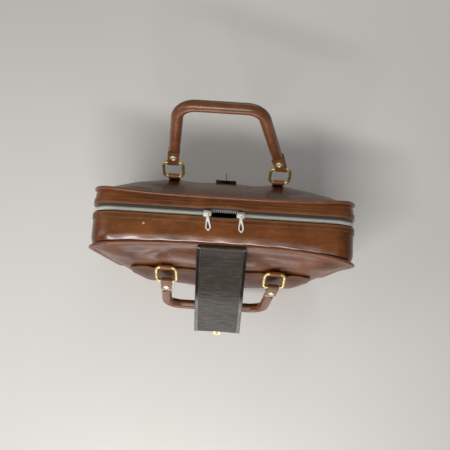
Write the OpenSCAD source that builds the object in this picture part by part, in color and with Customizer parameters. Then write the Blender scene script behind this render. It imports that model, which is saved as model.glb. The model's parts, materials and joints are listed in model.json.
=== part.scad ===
// Soft-sided leather travel case with a zip round three sides
// X runs along the width, Y from front to back, Z up.
// The origin is on the flat underside, below the middle of the piping lines.

/* [Case] */
// Width over the piping
case_w = 410; // [360:5:480]
// Height over the piping
case_h = 290; // [250:5:330]
// Depth over the piping at the four corners
case_d = 97; // [90:1:112]
// Radius of the four corners, at the piping's outside
corner_r = 38; // [30:1:48]
// Diameter of the piping in the seams
piping_d = 6; // [5:0.5:7]
// Thickness of the case leather with its backing
leather_t = 2.4; // [1.8:0.1:2.6]
// How far the packed front panel bulges
front_bulge = 30; // [22:1:38]
// How far the packed back panel bulges
back_bulge = 42; // [34:1:50]
// How far the front piping is drawn in at the middle of the top
front_pinch = 11.5; // [6:0.5:13]
// How far the back piping is drawn in at the middle of the top
back_pinch = 7; // [3:0.5:9]
// Thickness of the fibre board inside the bottom
board_t = 2; // [1.5:0.5:3]
// Diameter of the brass stud on the front gusset
stud_d = 5; // [3:0.5:8]
// Distance of the stud to the left of the middle
stud_x = 119; // [90:1:140]

/* [Zip] */
// Distance of the zip behind the middle of the case
zip_offset = 12.5; // [8:0.5:15]
// Distance between two teeth of one row
tooth_pitch = 3.2; // [2.8:0.1:4]
// Width of the closed chain
chain_w = 6; // [5.4:0.2:6.6]
// Thickness of the teeth
chain_t = 2.8; // [2.4:0.2:3.2]
// Thickness of the tape
tape_t = 0.8; // [0.5:0.1:1]
// Width of each tape
tape_w = 18; // [15:1:20]
// Leather edge in front of the zip's middle
front_reveal = 5.6; // [5.4:0.1:7]
// Leather edge behind the zip's middle
back_reveal = 8; // [6:0.5:9]
// Width of the folded facing beside the zip
facing_w = 9; // [7:0.5:11]
// Thickness of the folded facing
facing_t = 1.2; // [0.8:0.1:1.4]
// Height of the zip's lower ends above the bottom corners
zip_lift = 14; // [8:1:30]
// Distance between the two sliders at rest
slider_spacing = 50; // [46:1:54]
// Length of a slider
slider_l = 12; // [11:0.5:13]
// Width of a slider
slider_w = 9.6; // [9:0.2:10]
// How far each row of teeth is parted between the sliders
parting = 4.5; // [4.3:0.1:5]
// Length of a pull from its pivot
pull_l = 27; // [20:1:28]
// Width of a pull at its widest
pull_w = 8.4; // [7:0.2:10]

/* [Handles] */
// Distance between the two rings of a handle
ring_spacing = 170; // [150:5:190]
// Outer width of a ring, which is square with round corners
ring_w = 36.4; // [34:0.4:44]
// Wire diameter of a ring
ring_wire = 5.2; // [4.4:0.2:5.6]
// Bend radius of a ring's corners, at the middle of the wire
ring_bend = 6.5; // [5:0.5:6.5]
// Width of the leather loops and tabs
tab_w = 17.8; // [14:0.2:18]
// Thickness of one layer of a loop
loop_t = 1.2; // [0.8:0.1:1.3]
// Thickness of the tab leather
tab_t = 2; // [1.6:0.1:2.4]
// Length of a tab from the ring's wire
tab_l = 30; // [28:1:36]
// Thickness of the flattened leg between the tab's layers
leg_t = 6; // [5.8:0.2:8]
// Diameter of the rolled grip
grip_d = 17; // [14:0.5:20]
// Height of the grip above the rings
handle_rise = 130; // [100:5:145]
// Bend radius of the grip's corners
grip_bend = 28; // [24:1:40]
// How far the back handle's legs lean towards each other, in degrees
back_leg_lean = 12; // [0:1:13]
// How much of that the right leg has more, and the left leg less
back_skew = 6; // [0:1:6]
// How far the front handle's legs lean away from each other, in degrees
front_leg_lean = 1; // [0:1:5]
// How much of that the left leg has more, and the right leg less
front_skew = 3; // [0:1:3]
// Diameter of a rivet's head
rivet_d = 11; // [9:0.5:13]
// Distance of the back rings' seat below the case's top
back_ring_drop = 55; // [50:1:62]
// Distance of the front rings' seat below the case's top
front_ring_drop = 50; // [47:0.5:51]
// Distance of the back rings' lower wire from the panel
back_standoff = 14; // [12:0.5:18]
// Distance of the front rings' upper wire from the panel
front_standoff = 11; // [10.5:0.5:13]
// Distance from the back rings' seat down to the sewn part of their loops
back_loop_drop = 13; // [12:0.5:16]
// Distance from the front rings' seat down to the sewn part of their loops
front_loop_drop = 14; // [13:0.5:16]
// Length of the sewn part of a loop
loop_l = 28; // [24:1:31]

/* [Pocket] */
// Width of the pocket
pocket_w = 294; // [270:2:300]
// Height of the pocket
pocket_h = 186; // [170:2:190]
// Distance of the pocket's mouth below the case's top
pocket_drop = 64; // [62:1:68]
// Clear gap inside the pocket
pocket_gap = 6; // [5.6:0.1:6.2]
// Thickness of the pocket leather
pocket_t = 2.2; // [1.6:0.1:2.3]

/* [Strap] */
// Width of the closing strap
strap_w = 73; // [50:1:90]
// Thickness of the strap's leather
strap_leather_t = 2.2; // [1.8:0.1:2.4]
// Thickness of the strap's lining
strap_lining_t = 1.6; // [1.2:0.1:1.8]
// Length of the strap from the seam to its fold
strap_root_l = 80; // [76:1:90]
// Length of the strap's end beyond the fold
strap_end_l = 84; // [70:1:90]
// Width of the edge binding on each face
binding_w = 6; // [4:0.5:8]
// Thickness of the edge binding
binding_t = 0.5; // [0.4:0.1:0.6]
// Length of the brass tongue beyond the strap
tongue_l = 12; // [10:1:16]
// Width of the brass tongue
tongue_w = 12; // [10:1:16]

/* [Lock] */
// Width of the lock plate
lock_w = 34; // [32:1:44]
// Height of the lock plate
lock_h = 44; // [42:1:50]
// Thickness of the lock case
lock_t = 6; // [5.6:0.2:8]
// Distance of the keyhole's plate below the case's top
lock_drop = 90; // [85:1:100]
// Diameter of the lock's plug
plug_d = 8; // [7:0.5:9]
// How far the key stands out of the lock
key_out = 18; // [15:1:22]

/* [Hidden] */
$fn = 48;

leather = "#7a4526";
leather_dark = "#4f2a17";
brass = "#d8c878";
nickel = "#cfd0cc";
cloth = "#4a443e";
board = "#8b7355";

piping_r = piping_d / 2;
half_w = case_w / 2;
mid_z = case_h / 2;
back_ring_z = case_h - back_ring_drop;
front_ring_z = case_h - front_ring_drop;
lock_z = case_h - lock_drop;
// Y of the piping's middle line at the corners, without the pinch
seam_y = case_d / 2 - piping_r;
// A flat of the eight-sided piping stands square to Y and Z, and the leather butts on it
piping_flat = piping_r / cos(22.5);
// The leather lies along the middle of the piping
skin_in = piping_r - leather_t / 2;
skin_out = piping_r + leather_t / 2;
running = 0.08;
free_gap = 0.3;

// Zip heights, measured inwards from the outline
chain_mid = skin_out + tape_t / 2;
chain_top = chain_mid - chain_t / 2;
chain_low = chain_mid + chain_t / 2;
zip_y = zip_offset;
tooth_w = tooth_pitch / 2 - 0.1;
// How far a tooth reaches past the zip's middle
mesh_in = 1.4;
cord_w = 1.5;
parting_end = (slider_spacing + slider_l) / 2;
zip_end = corner_r + zip_lift;

// Stations round the outline
corner_steps = 5;
side_steps = 8;
base_steps = 8;
flat_w = half_w - corner_r;
top_shares = [1, 0.82, 0.66, 0.5, 0.36];
// Stations where the zip parts, as shares of the parted half
parted_shares = [1, 0.75, 0.5, 0.25];
right_half = concat([for (t = top_shares) t * flat_w], [for (t = parted_shares) t * parting_end]);
top_x = concat(right_half, [0], [for (i = [len(right_half) - 1:-1:0]) -right_half[i]]);

// Each station holds its x and z on the outline and its outward normal
function arc_stations(cx, cz, start) = [
    for (i = [0:corner_steps])
        let (a = start + 90 * i / corner_steps)
        [cx + corner_r * cos(a), cz + corner_r * sin(a), cos(a), sin(a)]
];
stations = concat(
    arc_stations(flat_w, case_h - corner_r, 0),
    [for (i = [1:len(top_x) - 2]) [top_x[i], case_h, 0, 1]],
    arc_stations(-flat_w, case_h - corner_r, 90),
    [for (i = [1:side_steps - 1]) [-half_w, case_h - corner_r - i * (case_h - 2 * corner_r) / side_steps, -1, 0]],
    arc_stations(-flat_w, corner_r, 180),
    [for (i = [1:base_steps - 1]) [-flat_w + i * 2 * flat_w / base_steps, 0, 0, -1]],
    arc_stations(flat_w, corner_r, 270),
    [for (i = [1:side_steps - 1]) [half_w, corner_r + i * (case_h - 2 * corner_r) / side_steps, 1, 0]]
);
count = len(stations);

// The pinch at the top middle, from 0 to 1
function pinch(x, z) = (1 - pow(min(1, abs(x) / half_w), 3)) * pow(max(0, z) / case_h, 3);
function front_seam(x, z) = -seam_y + front_pinch * pinch(x, z);
function back_seam(x, z) = seam_y - back_pinch * pinch(x, z);
// How far the zip's edges part at a place on the top
function part_at(x) = parting * max(0, 1 - pow(x / parting_end, 2));
part_table = [for (x = top_x) [x, part_at(x)]];
function parted(s) = s[3] > 0.99 ? lookup(s[0], part_table) : 0;

// A point at a station, moved inwards from the outline
function at(s, y, inset) = [s[0] - s[2] * inset, y, s[1] - s[3] * inset];

// Joins rings of points into faces, as a closed loop or with two caps
function loop_faces(rings, n, closed) = concat(
    [for (i = [0:rings - (closed ? 1 : 2)], j = [0:n - 1])
        let (a = i * n + j, b = i * n + (j + 1) % n, k = (i + 1) % rings)
        [a, b, k * n + (j + 1) % n]],
    [for (i = [0:rings - (closed ? 1 : 2)], j = [0:n - 1])
        let (a = i * n + j, k = (i + 1) % rings)
        [a, k * n + (j + 1) % n, k * n + j]],
    closed ? [] : [[for (j = [n - 1:-1:0]) j], [for (j = [0:n - 1]) (rings - 1) * n + j]]
);

// Sweeps a section along stations. Each section point is a Y and an inset.
module swept(path, sections, closed) {
    n = len(sections[0]);
    polyhedron(
        points = [for (i = [0:len(path) - 1], q = sections[i]) at(path[i], q[0], q[1])],
        faces = loop_faces(len(path), n, closed)
    );
}

// Panels: rings of points from the pocket's middle out to its edge, and on to the seam
pocket_rings = [0.3, 0.6, 0.85, 1];
panel_rings = concat(pocket_rings, [1.3, 1.6, 1.82, 2]);
pocket_z = case_h - pocket_drop - pocket_h / 2;
panel_half_w = half_w - piping_d;
panel_half_h = mid_z - piping_d;
panel_power = 2.5;

// Swell from 1 in the middle to 0 at the seam: level lines turn from ovals into the outline
function swell(share, x, z) =
    let (
        u = abs(x) / panel_half_w,
        v = abs(z - mid_z) / panel_half_h,
        oval = pow(pow(u, panel_power) + pow(v, panel_power), 1 / panel_power),
        w = pow(share, 3)
    )
    1 - pow(share * w + oval * (1 - w), panel_power);
function panel_y(side, share, x, z, off) =
    side > 0 ? back_seam(x, z) + back_bulge * swell(share, x, z) + off
             : front_seam(x, z) - front_bulge * swell(share, x, z) - off;

// Share of the way from the panel's middle to its rounded outline at a place
function share_at(x, z) =
    let (
        u = abs(x),
        v = abs(z - mid_z),
        r = corner_r - piping_d,
        a = panel_half_w - r,
        b = panel_half_h - r,
        q = a * a + b * b - r * r,
        h = a * u + b * v,
        root = h * h - q * (u * u + v * v),
        round_share = (h - sqrt(max(0, root))) / q
    )
    root > 0 && u > round_share * a && v > round_share * b ? round_share : max(u / panel_half_w, v / panel_half_h);

// Middle of the leather of a panel, on a ring: 1 is the pocket's edge and 2 the seam
function panel_point(s, ring, side, off) =
    let (
        edge = at(s, 0, piping_d),
        px = edge[0] / panel_half_w * pocket_w / 2,
        pz = (edge[2] - mid_z) / panel_half_h * pocket_h / 2 + pocket_z,
        near = min(1, ring),
        far = max(0, ring - 1),
        x = near * px * (1 - far) + far * edge[0],
        z = (pocket_z + near * (pz - pocket_z)) * (1 - far) + far * edge[2]
    )
    [x, panel_y(side, ring == 2 ? 1 : share_at(x, z), x, z, off), z];

// Y of a panel's outer face, and its slope
function face_y(side, x, z) = panel_y(side, share_at(x, z), x, z, leather_t / 2);
function face_slope(side, x, z) = atan(abs(face_y(side, x, z + 1) - face_y(side, x, z - 1)) / 2);
// A point [y, z] off the face by a distance along the normal
function off_face(side, x, z, d) =
    let (a = face_slope(side, x, z))
    [face_y(side, x, z) + side * d * cos(a), z + d * sin(a)];

// A shell between two offsets, as rings from a middle point out to the last ring
module panel_shell(rings, side, inner, outer) {
    k = len(rings);
    mid_in = panel_point(stations[0], 0, side, inner[0][0]);
    mid_out = panel_point(stations[0], 0, side, outer[0][0]);
    ins = [for (r = [0:k - 1], i = [0:count - 1]) panel_point(stations[i], rings[r], side, inner[r][i])];
    outs = [for (r = [0:k - 1], i = [0:count - 1]) panel_point(stations[i], rings[r], side, outer[r][i])];
    pts = concat([mid_in], ins, [mid_out], outs);
    o = 1 + k * count;
    function v(base, r, i) = base + 1 + r * count + i % count;
    skin = concat(
        [for (i = [0:count - 1]) [0, v(0, 0, i), v(0, 0, i + 1)]],
        [for (r = [0:k - 2], i = [0:count - 1]) [v(0, r, i), v(0, r + 1, i), v(0, r + 1, i + 1)]],
        [for (r = [0:k - 2], i = [0:count - 1]) [v(0, r, i), v(0, r + 1, i + 1), v(0, r, i + 1)]],
        [for (i = [0:count - 1]) [o, v(o, 0, i + 1), v(o, 0, i)]],
        [for (r = [0:k - 2], i = [0:count - 1]) [v(o, r, i), v(o, r + 1, i + 1), v(o, r + 1, i)]],
        [for (r = [0:k - 2], i = [0:count - 1]) [v(o, r, i), v(o, r, i + 1), v(o, r + 1, i + 1)]],
        [for (i = [0:count - 1]) [v(0, k - 1, i), v(o, k - 1, i), v(o, k - 1, i + 1)]],
        [for (i = [0:count - 1]) [v(0, k - 1, i), v(o, k - 1, i + 1), v(0, k - 1, i + 1)]]
    );
    // Outward faces wind the other way round on the back
    polyhedron(points = pts, faces = side > 0 ? skin : [for (f = skin) [f[2], f[1], f[0]]]);
}

module plain_panel(side) {
    t = leather_t / 2;
    panel_shell(
        panel_rings, side,
        [for (r = panel_rings) [for (i = [0:count - 1]) -t]],
        [for (r = panel_rings) [for (i = [0:count - 1]) t]]
    );
}

module piping(side) {
    sections = [
        for (s = stations)
            let (y = side > 0 ? back_seam(s[0], s[1]) : front_seam(s[0], s[1]))
            [for (k = [0:7]) let (a = 22.5 + 45 * k) [y + piping_flat * cos(a), piping_r + piping_flat * sin(a)]]
    ];
    swept(stations, sections, true);
}

// Leather edge beside the zip at a station
function zip_edge(s, side) = side > 0 ? zip_y + back_reveal + parted(s) : zip_y - front_reveal - parted(s);
function seam_at(s, side) = side > 0 ? back_seam(s[0], s[1]) - piping_r : front_seam(s[0], s[1]) + piping_r;

module gusset(side) {
    sections = [
        for (s = stations)
            let (a = seam_at(s, side), b = zip_edge(s, side))
            side > 0 ? [[a, skin_in], [a, skin_out], [b, skin_out], [b, skin_in]]
                     : [[b, skin_in], [b, skin_out], [a, skin_out], [a, skin_in]]
    ];
    swept(stations, sections, true);
}

// The stations along the zip, from its right end over the top to its left end
function over_top(low) = concat(
    [[half_w, low, 1, 0]],
    [for (i = [count - side_steps + 1:count - 1]) if (stations[i][1] > low + 4) stations[i]],
    [for (i = [0:count - 1]) if (stations[i][1] > low + 4 && i < count - side_steps + 1) stations[i]],
    [[-half_w, low, -1, 0]]
);

// A strip along the zip between two distances from its middle
module zip_strip(side, near, far, top, low, from_z) {
    path = over_top(from_z);
    sections = [
        for (s = path)
            let (
                a = zip_y + side * (near + parted(s)),
                b = zip_y + side * (far + parted(s))
            )
            side > 0 ? [[a, top], [b, top], [b, low], [a, low]]
                     : [[b, top], [a, top], [a, low], [b, low]]
    ];
    swept(path, sections, false);
}

// Outline of a row of teeth on its cord, with X along the zip. The cord runs on into the corners.
run_on = 0.1;
function comb(from, to, side, shift, bowed) =
    let (
        n = floor((to - from) / tooth_pitch),
        step = (to - from) / n,
        root = chain_w / 2 - cord_w,
        places = concat([to + run_on], bowed ? [for (i = [1:len(top_x) - 2]) top_x[i]] : [], [from - run_on]),
        backs = [for (x = places) [x, side * (chain_w / 2 + (bowed ? lookup(x, part_table) : 0))]],
        teeth = [
            for (k = [0:n - 1], c = [0:3])
                let (
                    x = from + (k + shift) * step + (c > 1 ? tooth_w : 0),
                    bow = bowed ? lookup(x, part_table) : 0
                )
                [x, side * ((c == 1 || c == 2 ? -mesh_in : root) + bow)]
        ]
    )
    concat(backs, [[from - run_on, side * root]], teeth, [[to + run_on, side * root]]);

// One row of teeth in a corner, round the Y axis from angle 0 to 90
module corner_row(side, shift) {
    r_in = corner_r - chain_low;
    n = floor((corner_r - chain_mid) * PI / 2 / tooth_pitch);
    width = r_in * PI / 4 / n - 0.1;
    root = chain_w / 2 - cord_w;
    // A tooth is sunk a little into its cord
    sunk = 0.4;
    inset = 0.15;
    rotate([90, 0, 0])
        rotate_extrude(angle = 90)
            translate([r_in, side > 0 ? -chain_w / 2 : root])
                square([chain_t, cord_w]);
    for (k = [0:n - 1])
        rotate([0, -(k + shift) * 90 / n, 0])
            translate([r_in + inset, side > 0 ? -mesh_in : -root - sunk, 0.05])
                cube([chain_t - 2 * inset, root + mesh_in + sunk, width]);
}

module teeth(side, shift) {
    color(nickel) translate([0, zip_y, 0]) {
        translate([0, 0, case_h - chain_low])
            linear_extrude(chain_t) polygon(comb(-flat_w, flat_w, side, shift, true));
        for (x = [half_w - chain_top, -half_w + chain_low])
            translate([x, 0, 0])
                rotate([0, -90, 0])
                    linear_extrude(chain_t) polygon(comb(zip_end, case_h - corner_r, side, shift, false));
        translate([flat_w, 0, case_h - corner_r]) corner_row(side, shift);
        translate([-flat_w, 0, case_h - corner_r]) rotate([0, -90, 0]) corner_row(side, shift);
    }
}

// Small metal blocks that end a row of teeth
module zip_stops(side) {
    depth = chain_w / 2 - 0.2;
    color(nickel)
        for (x = [half_w - chain_low, -half_w + chain_top])
            translate([x, zip_y + (side > 0 ? 0.2 : -chain_w / 2), zip_end - 4.2])
                cube([chain_t, depth, 4]);
}

module front_panel() { color(leather) plain_panel(-1); }
module back_panel() { color(leather) plain_panel(1); }
module front_piping() { color(leather_dark) piping(-1); }
module back_piping() { color(leather_dark) piping(1); }
module front_gusset() { color(leather) gusset(-1); }
module back_gusset() { color(leather) gusset(1); }
module front_facing() {
    color(leather_dark)
        zip_strip(-1, front_reveal, front_reveal + facing_w, skin_in - facing_t, skin_in, zip_end - 6);
}
module back_facing() {
    color(leather_dark)
        zip_strip(1, back_reveal, back_reveal + facing_w, skin_in - facing_t, skin_in, zip_end - 6);
}
module front_tape() {
    color(cloth) zip_strip(-1, chain_w / 2 + 0.1, tape_w, skin_out, skin_out + tape_t, zip_end - 6);
}
module back_tape() {
    color(cloth) zip_strip(1, chain_w / 2 + 0.1, tape_w, skin_out, skin_out + tape_t, zip_end - 6);
}
module front_teeth() { teeth(-1, 0); }
module back_teeth() { teeth(1, 0.5); }
module front_zip_stops() { zip_stops(-1); }
module back_zip_stops() { zip_stops(1); }

// Leather that closes the case below the zip and folds when the case opens
module hinge_strip() {
    low = zip_end - 6;
    path = concat(
        [[-half_w, low, -1, 0]],
        [for (s = stations) if (s[2] < 0 && s[1] < low - 4) s],
        [for (s = stations) if (s[3] < -0.99 && abs(s[0]) < flat_w - 0.01) s],
        [for (s = stations) if (s[2] > 0.01 && s[1] < corner_r + 0.01) s],
        [for (s = stations) if (s[2] > 0.99 && s[1] > corner_r + 0.01 && s[1] < low - 4) s],
        [[half_w, low, 1, 0]]
    );
    color(leather_dark)
        swept(path, [for (s = path) [[zip_y - front_reveal, skin_in], [zip_y + back_reveal, skin_in],
                                     [zip_y + back_reveal, skin_out], [zip_y - front_reveal, skin_out]]], false);
}

module sole(from_y, to_y) {
    translate([-flat_w, from_y, 0]) cube([2 * flat_w, to_y - from_y, skin_in]);
}
sole_edge = seam_y - piping_r - 0.5;
module front_sole() { color(leather_dark) sole(-sole_edge, zip_y - front_reveal); }
module back_sole() { color(leather_dark) sole(zip_y + back_reveal, sole_edge); }

module base_board() {
    color(board)
        translate([-flat_w + 6, -sole_edge + 2, skin_out + 0.1])
            cube([2 * flat_w - 12, sole_edge + zip_y - front_reveal - 4, board_t]);
}

// Patch pocket: lies on the panel at its sides and bottom and stands open along its top
pocket_touch = 0.35;
function mouth(s) = s[3] > 0 ? pow(s[3], 2) : 0;
function pocket_off(ring, s) =
    leather_t / 2 + pocket_touch + pocket_gap * (ring == 1 ? mouth(s) : 1);
module front_pocket() {
    inner = [for (r = pocket_rings) [for (s = stations) pocket_off(r, s)]];
    outer = [for (r = inner) [for (o = r) o + pocket_t]];
    color(leather) panel_shell(pocket_rings, -1, inner, outer);
}

// The stud's dome is a slice of a ball
stud_sunk = stud_d * sqrt(0.36 - 0.25);
module brass_stud() {
    color(brass)
        translate([-stud_x, (zip_y - front_reveal - facing_w - 3) - stud_d / 2, case_h - skin_in])
            rotate_extrude() intersection() {
                translate([0, -stud_sunk]) circle(r = stud_d * 0.6);
                square([stud_d / 2, stud_d]);
            }
}

// Extrudes a shape drawn in Y and Z along X, centred on a place
module across(x, width) {
    translate([x, 0, 0]) rotate([90, 0, 90]) linear_extrude(width, center = true) children();
}
module strip(p, q, t) {
    d = q - p;
    translate(p) rotate(atan2(d[1], d[0])) translate([0, -t / 2]) square([norm(d), t]);
    translate(q) circle(d = t);
}

// Leather loops that hold the rings: two layers on the panel, opened round the wire
wire_r = ring_wire / 2;
loop_in = wire_r + running;
loop_out = loop_in + loop_t;
side_x = ring_spacing / 2;
// The inner edges of the loops lie where the panels swell most
near_x = side_x - tab_w / 2;
back_bar = off_face(1, near_x, back_ring_z, back_standoff);
front_bar = off_face(-1, near_x, front_ring_z, front_standoff);
module loop(x, bar, top, low) {
    color(leather)
        across(x, tab_w)
            difference() {
                union() {
                    translate(bar) circle(r = loop_out);
                    strip(bar, top, 2 * loop_t);
                    strip(top, low, 2 * loop_t);
                }
                translate(bar) circle(r = loop_in);
            }
}
loop_off = free_gap + loop_t + 0.6;
module back_loop(x) {
    top = back_ring_z - back_loop_drop;
    loop(x, back_bar, off_face(1, near_x, top, loop_off), off_face(1, near_x, top - loop_l, loop_off));
}
module front_loop(x) {
    top = front_ring_z - front_loop_drop;
    loop(x, front_bar, off_face(-1, near_x, top, loop_off), off_face(-1, near_x, top - loop_l, loop_off));
}
module back_loop_left() { back_loop(-side_x); }
module back_loop_right() { back_loop(side_x); }
module front_loop_left() { front_loop(-side_x); }
module front_loop_right() { front_loop(side_x); }

// A ring in its own frame: the wire in the leather loop lies on X, the handle's wire above it
ring_c = ring_w - ring_wire;
module ring() {
    straight = ring_c - 2 * ring_bend;
    color(brass) {
        for (z = [0, ring_c])
            translate([-straight / 2, 0, z]) rotate([0, 90, 0]) cylinder(r = wire_r, h = straight);
        for (x = [-ring_c / 2, ring_c / 2])
            translate([x, 0, ring_bend]) cylinder(r = wire_r, h = straight);
        for (a = [0:90:270])
            translate([0, 0, ring_c / 2])
                rotate([0, a, 0])
                    translate([straight / 2, 0, straight / 2])
                        rotate([90, 0, 0])
                            rotate_extrude(angle = 90) translate([ring_bend, 0]) circle(r = wire_r);
    }
}

// Places a shape in a frame whose Z leans back from upright by an angle
module lean(point, angle) {
    translate([0, point[0], point[1]]) rotate([-angle, 0, 0]) children();
}
function along(point, angle, d) = point + d * [sin(angle), cos(angle)];

// Rest angles, measured from upright towards the back
back_ring_lean = 26;
front_ring_lean = 180 + 38;
back_handle_lean = 19;
front_handle_lean = 180 + 14;
back_pivot = along(back_bar, back_ring_lean, ring_c);
front_pivot = along(front_bar, front_ring_lean, ring_c);

module back_ring_left() { lean(back_bar, back_ring_lean) translate([-side_x, 0, 0]) ring(); }
module back_ring_right() { lean(back_bar, back_ring_lean) translate([side_x, 0, 0]) ring(); }
module front_ring_left() { lean(front_bar, front_ring_lean) translate([-side_x, 0, 0]) ring(); }
module front_ring_right() { lean(front_bar, front_ring_lean) translate([side_x, 0, 0]) ring(); }

// Handle pieces in a frame with Z away from the rings. Slope is how far a leg leans outwards for each mm.
rivet_z = 0.57 * tab_l;
shank_r = 2;
leg_start = loop_in + tab_t + 1;
module leaned(side, slope) {
    multmatrix([[1, 0, side * slope, 0], [0, 1, 0, 0], [0, 0, 1, 0], [0, 0, 0, 1]]) translate([side * side_x, 0, 0]) children();
}
module rivet_hole(side, slope) {
    translate([side * (side_x + slope * rivet_z), 0, rivet_z]) rotate([90, 0, 0]) cylinder(r = shank_r, h = 40, center = true);
}
module tab(side, slope) {
    color(leather)
        difference() {
            leaned(side, slope)
                across(0, tab_w)
                    difference() {
                        union() {
                            circle(r = leg_t / 2 + tab_t);
                            translate([-leg_t / 2 - tab_t, 0]) square([leg_t + 2 * tab_t, tab_l]);
                        }
                        circle(r = loop_in);
                        translate([-leg_t / 2, leg_start]) square([leg_t, tab_l]);
                    }
            rivet_hole(side, slope);
        }
}

// A leg's middle line and its bend, on the right: X, Z and the angle of its outward normal
function leg_line(lean) =
    let (
        cz = handle_rise - grip_bend,
        cx = side_x + cz * tan(lean) - grip_bend / cos(lean),
        low = tab_l + 0.5 + grip_d / 2 * abs(sin(lean))
    )
    concat(
        [[side_x + low * tan(lean), low, -lean]],
        [for (k = [0:7]) let (a = -lean + (90 + lean) * k / 7) [cx + grip_bend * cos(a), cz + grip_bend * sin(a), a]]
    );
// Leans are those of the left and the right leg
module grip(leans) {
    right = leg_line(leans[1]);
    left = leg_line(leans[0]);
    n = len(left);
    line = concat(right, [for (i = [n - 1:-1:0]) [-left[i][0], left[i][1], 180 - left[i][2]]]);
    sides = 24;
    color(leather)
        difference() {
            union() {
                for (k = [0, 1])
                    leaned(2 * k - 1, tan(leans[k]))
                        translate([-tab_w / 2 + 0.4, -leg_t / 2, leg_start]) cube([tab_w - 0.8, leg_t, tab_l - leg_start + 4]);
                polyhedron(
                    points = [
                        for (q = line, k = [0:sides - 1])
                            let (out = grip_d / 2 * cos(360 * k / sides))
                            [q[0] + out * cos(q[2]), -grip_d / 2 * sin(360 * k / sides), q[1] + out * sin(q[2])]
                    ],
                    faces = loop_faces(len(line), sides, false)
                );
            }
            for (k = [0, 1]) rivet_hole(2 * k - 1, tan(leans[k]));
        }
}
// Two rivets, each with a domed head on both faces and a dimple in it
module rivets(leans) {
    face = leg_t / 2 + tab_t;
    color(brass)
        for (k = [0, 1])
            translate([(2 * k - 1) * (side_x + tan(leans[k]) * rivet_z), 0, rivet_z])
                rotate([90, 0, 0]) {
                    cylinder(r = shank_r, h = 2 * face, center = true);
                    for (m = [0, 1])
                        mirror([0, 0, m]) translate([0, 0, face]) rivet_head();
                }
}
module rivet_head() {
    rotate_extrude()
        polygon([[0, 0], [rivet_d / 2, 0], [rivet_d / 2, 0.8], [rivet_d * 0.42, 1.8], [rivet_d * 0.28, 2.4],
                 [rivet_d * 0.16, 2.5], [rivet_d * 0.12, 1.6], [0, 1.4]]);
}
back_leans = [back_skew - back_leg_lean, -back_skew - back_leg_lean];
front_leans = [front_leg_lean + front_skew, front_leg_lean - front_skew];
module in_back_handle() { lean(back_pivot, back_handle_lean) children(); }
module in_front_handle() { lean(front_pivot, front_handle_lean) children(); }
module back_grip() { in_back_handle() grip(back_leans); }
module back_tab_left() { in_back_handle() tab(-1, tan(back_leans[0])); }
module back_tab_right() { in_back_handle() tab(1, tan(back_leans[1])); }
module back_rivets() { in_back_handle() rivets(back_leans); }
module front_grip() { in_front_handle() grip(front_leans); }
module front_tab_left() { in_front_handle() tab(-1, tan(front_leans[0])); }
module front_tab_right() { in_front_handle() tab(1, tan(front_leans[1])); }
module front_rivets() { in_front_handle() rivets(front_leans); }

// A slider in its own frame: X along the zip with the nose at +X, Z up from the outline
plate_t = 1.5;
slide_gap = 0.25;
plate_top = plate_t + slide_gap - chain_top;
bridge_z = 2.2;
bridge_r = 0.9;
bridge_l = 8.4;
module slider() {
    low = -chain_low - slide_gap;
    nose = 1.6;
    color(nickel) {
        translate([-slider_l / 2, -slider_w / 2, -chain_top + slide_gap]) cube([slider_l, slider_w, plate_t]);
        translate([-slider_l / 2, -slider_w / 2, low - plate_t]) cube([slider_l, slider_w, plate_t]);
        translate([slider_l / 2 - nose, -nose / 2, low]) cube([nose, nose, chain_t + 2 * slide_gap]);
        for (y = [-slider_w / 2, slider_w / 2 - 0.9]) {
            translate([-slider_l / 2, y, -skin_out + slide_gap])
                cube([2, 0.9, skin_out - chain_top]);
            translate([-slider_l / 2, y, low]) cube([2, 0.9, chain_low - skin_out - tape_t]);
        }
        for (x = [-bridge_l / 2, bridge_l / 2 - 1.6])
            translate([x, -bridge_r, plate_top]) cube([1.6, 2 * bridge_r, bridge_z - plate_top]);
        translate([-bridge_l / 2, 0, bridge_z]) rotate([0, 90, 0]) cylinder(r = bridge_r, h = bridge_l);
    }
}
module slider_left() { translate([-slider_spacing / 2, zip_y, case_h]) slider(); }
module slider_right() { translate([slider_spacing / 2, zip_y, case_h]) mirror([1, 0, 0]) slider(); }

// A pull hangs from the bridge by its eye: a long open drop, widest near its lower end
pull_t = 1.6;
pull_tilt = 5;
// Rows of [share of the length, share of half the width]
module drop_shape(rows) {
    pts = [for (q = rows) [q[1] * pull_w / 2, -q[0] * pull_l]];
    polygon(concat(pts, [for (i = [len(pts) - 1:-1:0]) [-pts[i][0], pts[i][1]]]));
}
module pull() {
    eye_r = bridge_r + running + 1.3;
    color(nickel) {
        difference() {
            union() {
                rotate([0, 90, 0]) cylinder(r = eye_r, h = 2.2, center = true);
                translate([-1.1, -5, -pull_t / 2]) cube([2.2, 5, pull_t]);
            }
            rotate([0, 90, 0]) cylinder(r = bridge_r + running, h = 4, center = true);
        }
        translate([0, 0, -pull_t / 2])
            linear_extrude(pull_t)
                difference() {
                    drop_shape([[0.15, 0.36], [0.34, 0.7], [0.6, 1], [0.76, 0.9], [0.9, 0.52], [1, 0.16]]);
                    drop_shape([[0.36, 0.16], [0.61, 0.5], [0.75, 0.42], [0.88, 0.1]]);
                }
    }
}
module pull_at(x) { translate([x, zip_y, case_h + bridge_z]) rotate([pull_tilt, 0, 0]) pull(); }
module pull_left() { pull_at(-slider_spacing / 2); }
module pull_right() { pull_at(slider_spacing / 2); }

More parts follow.
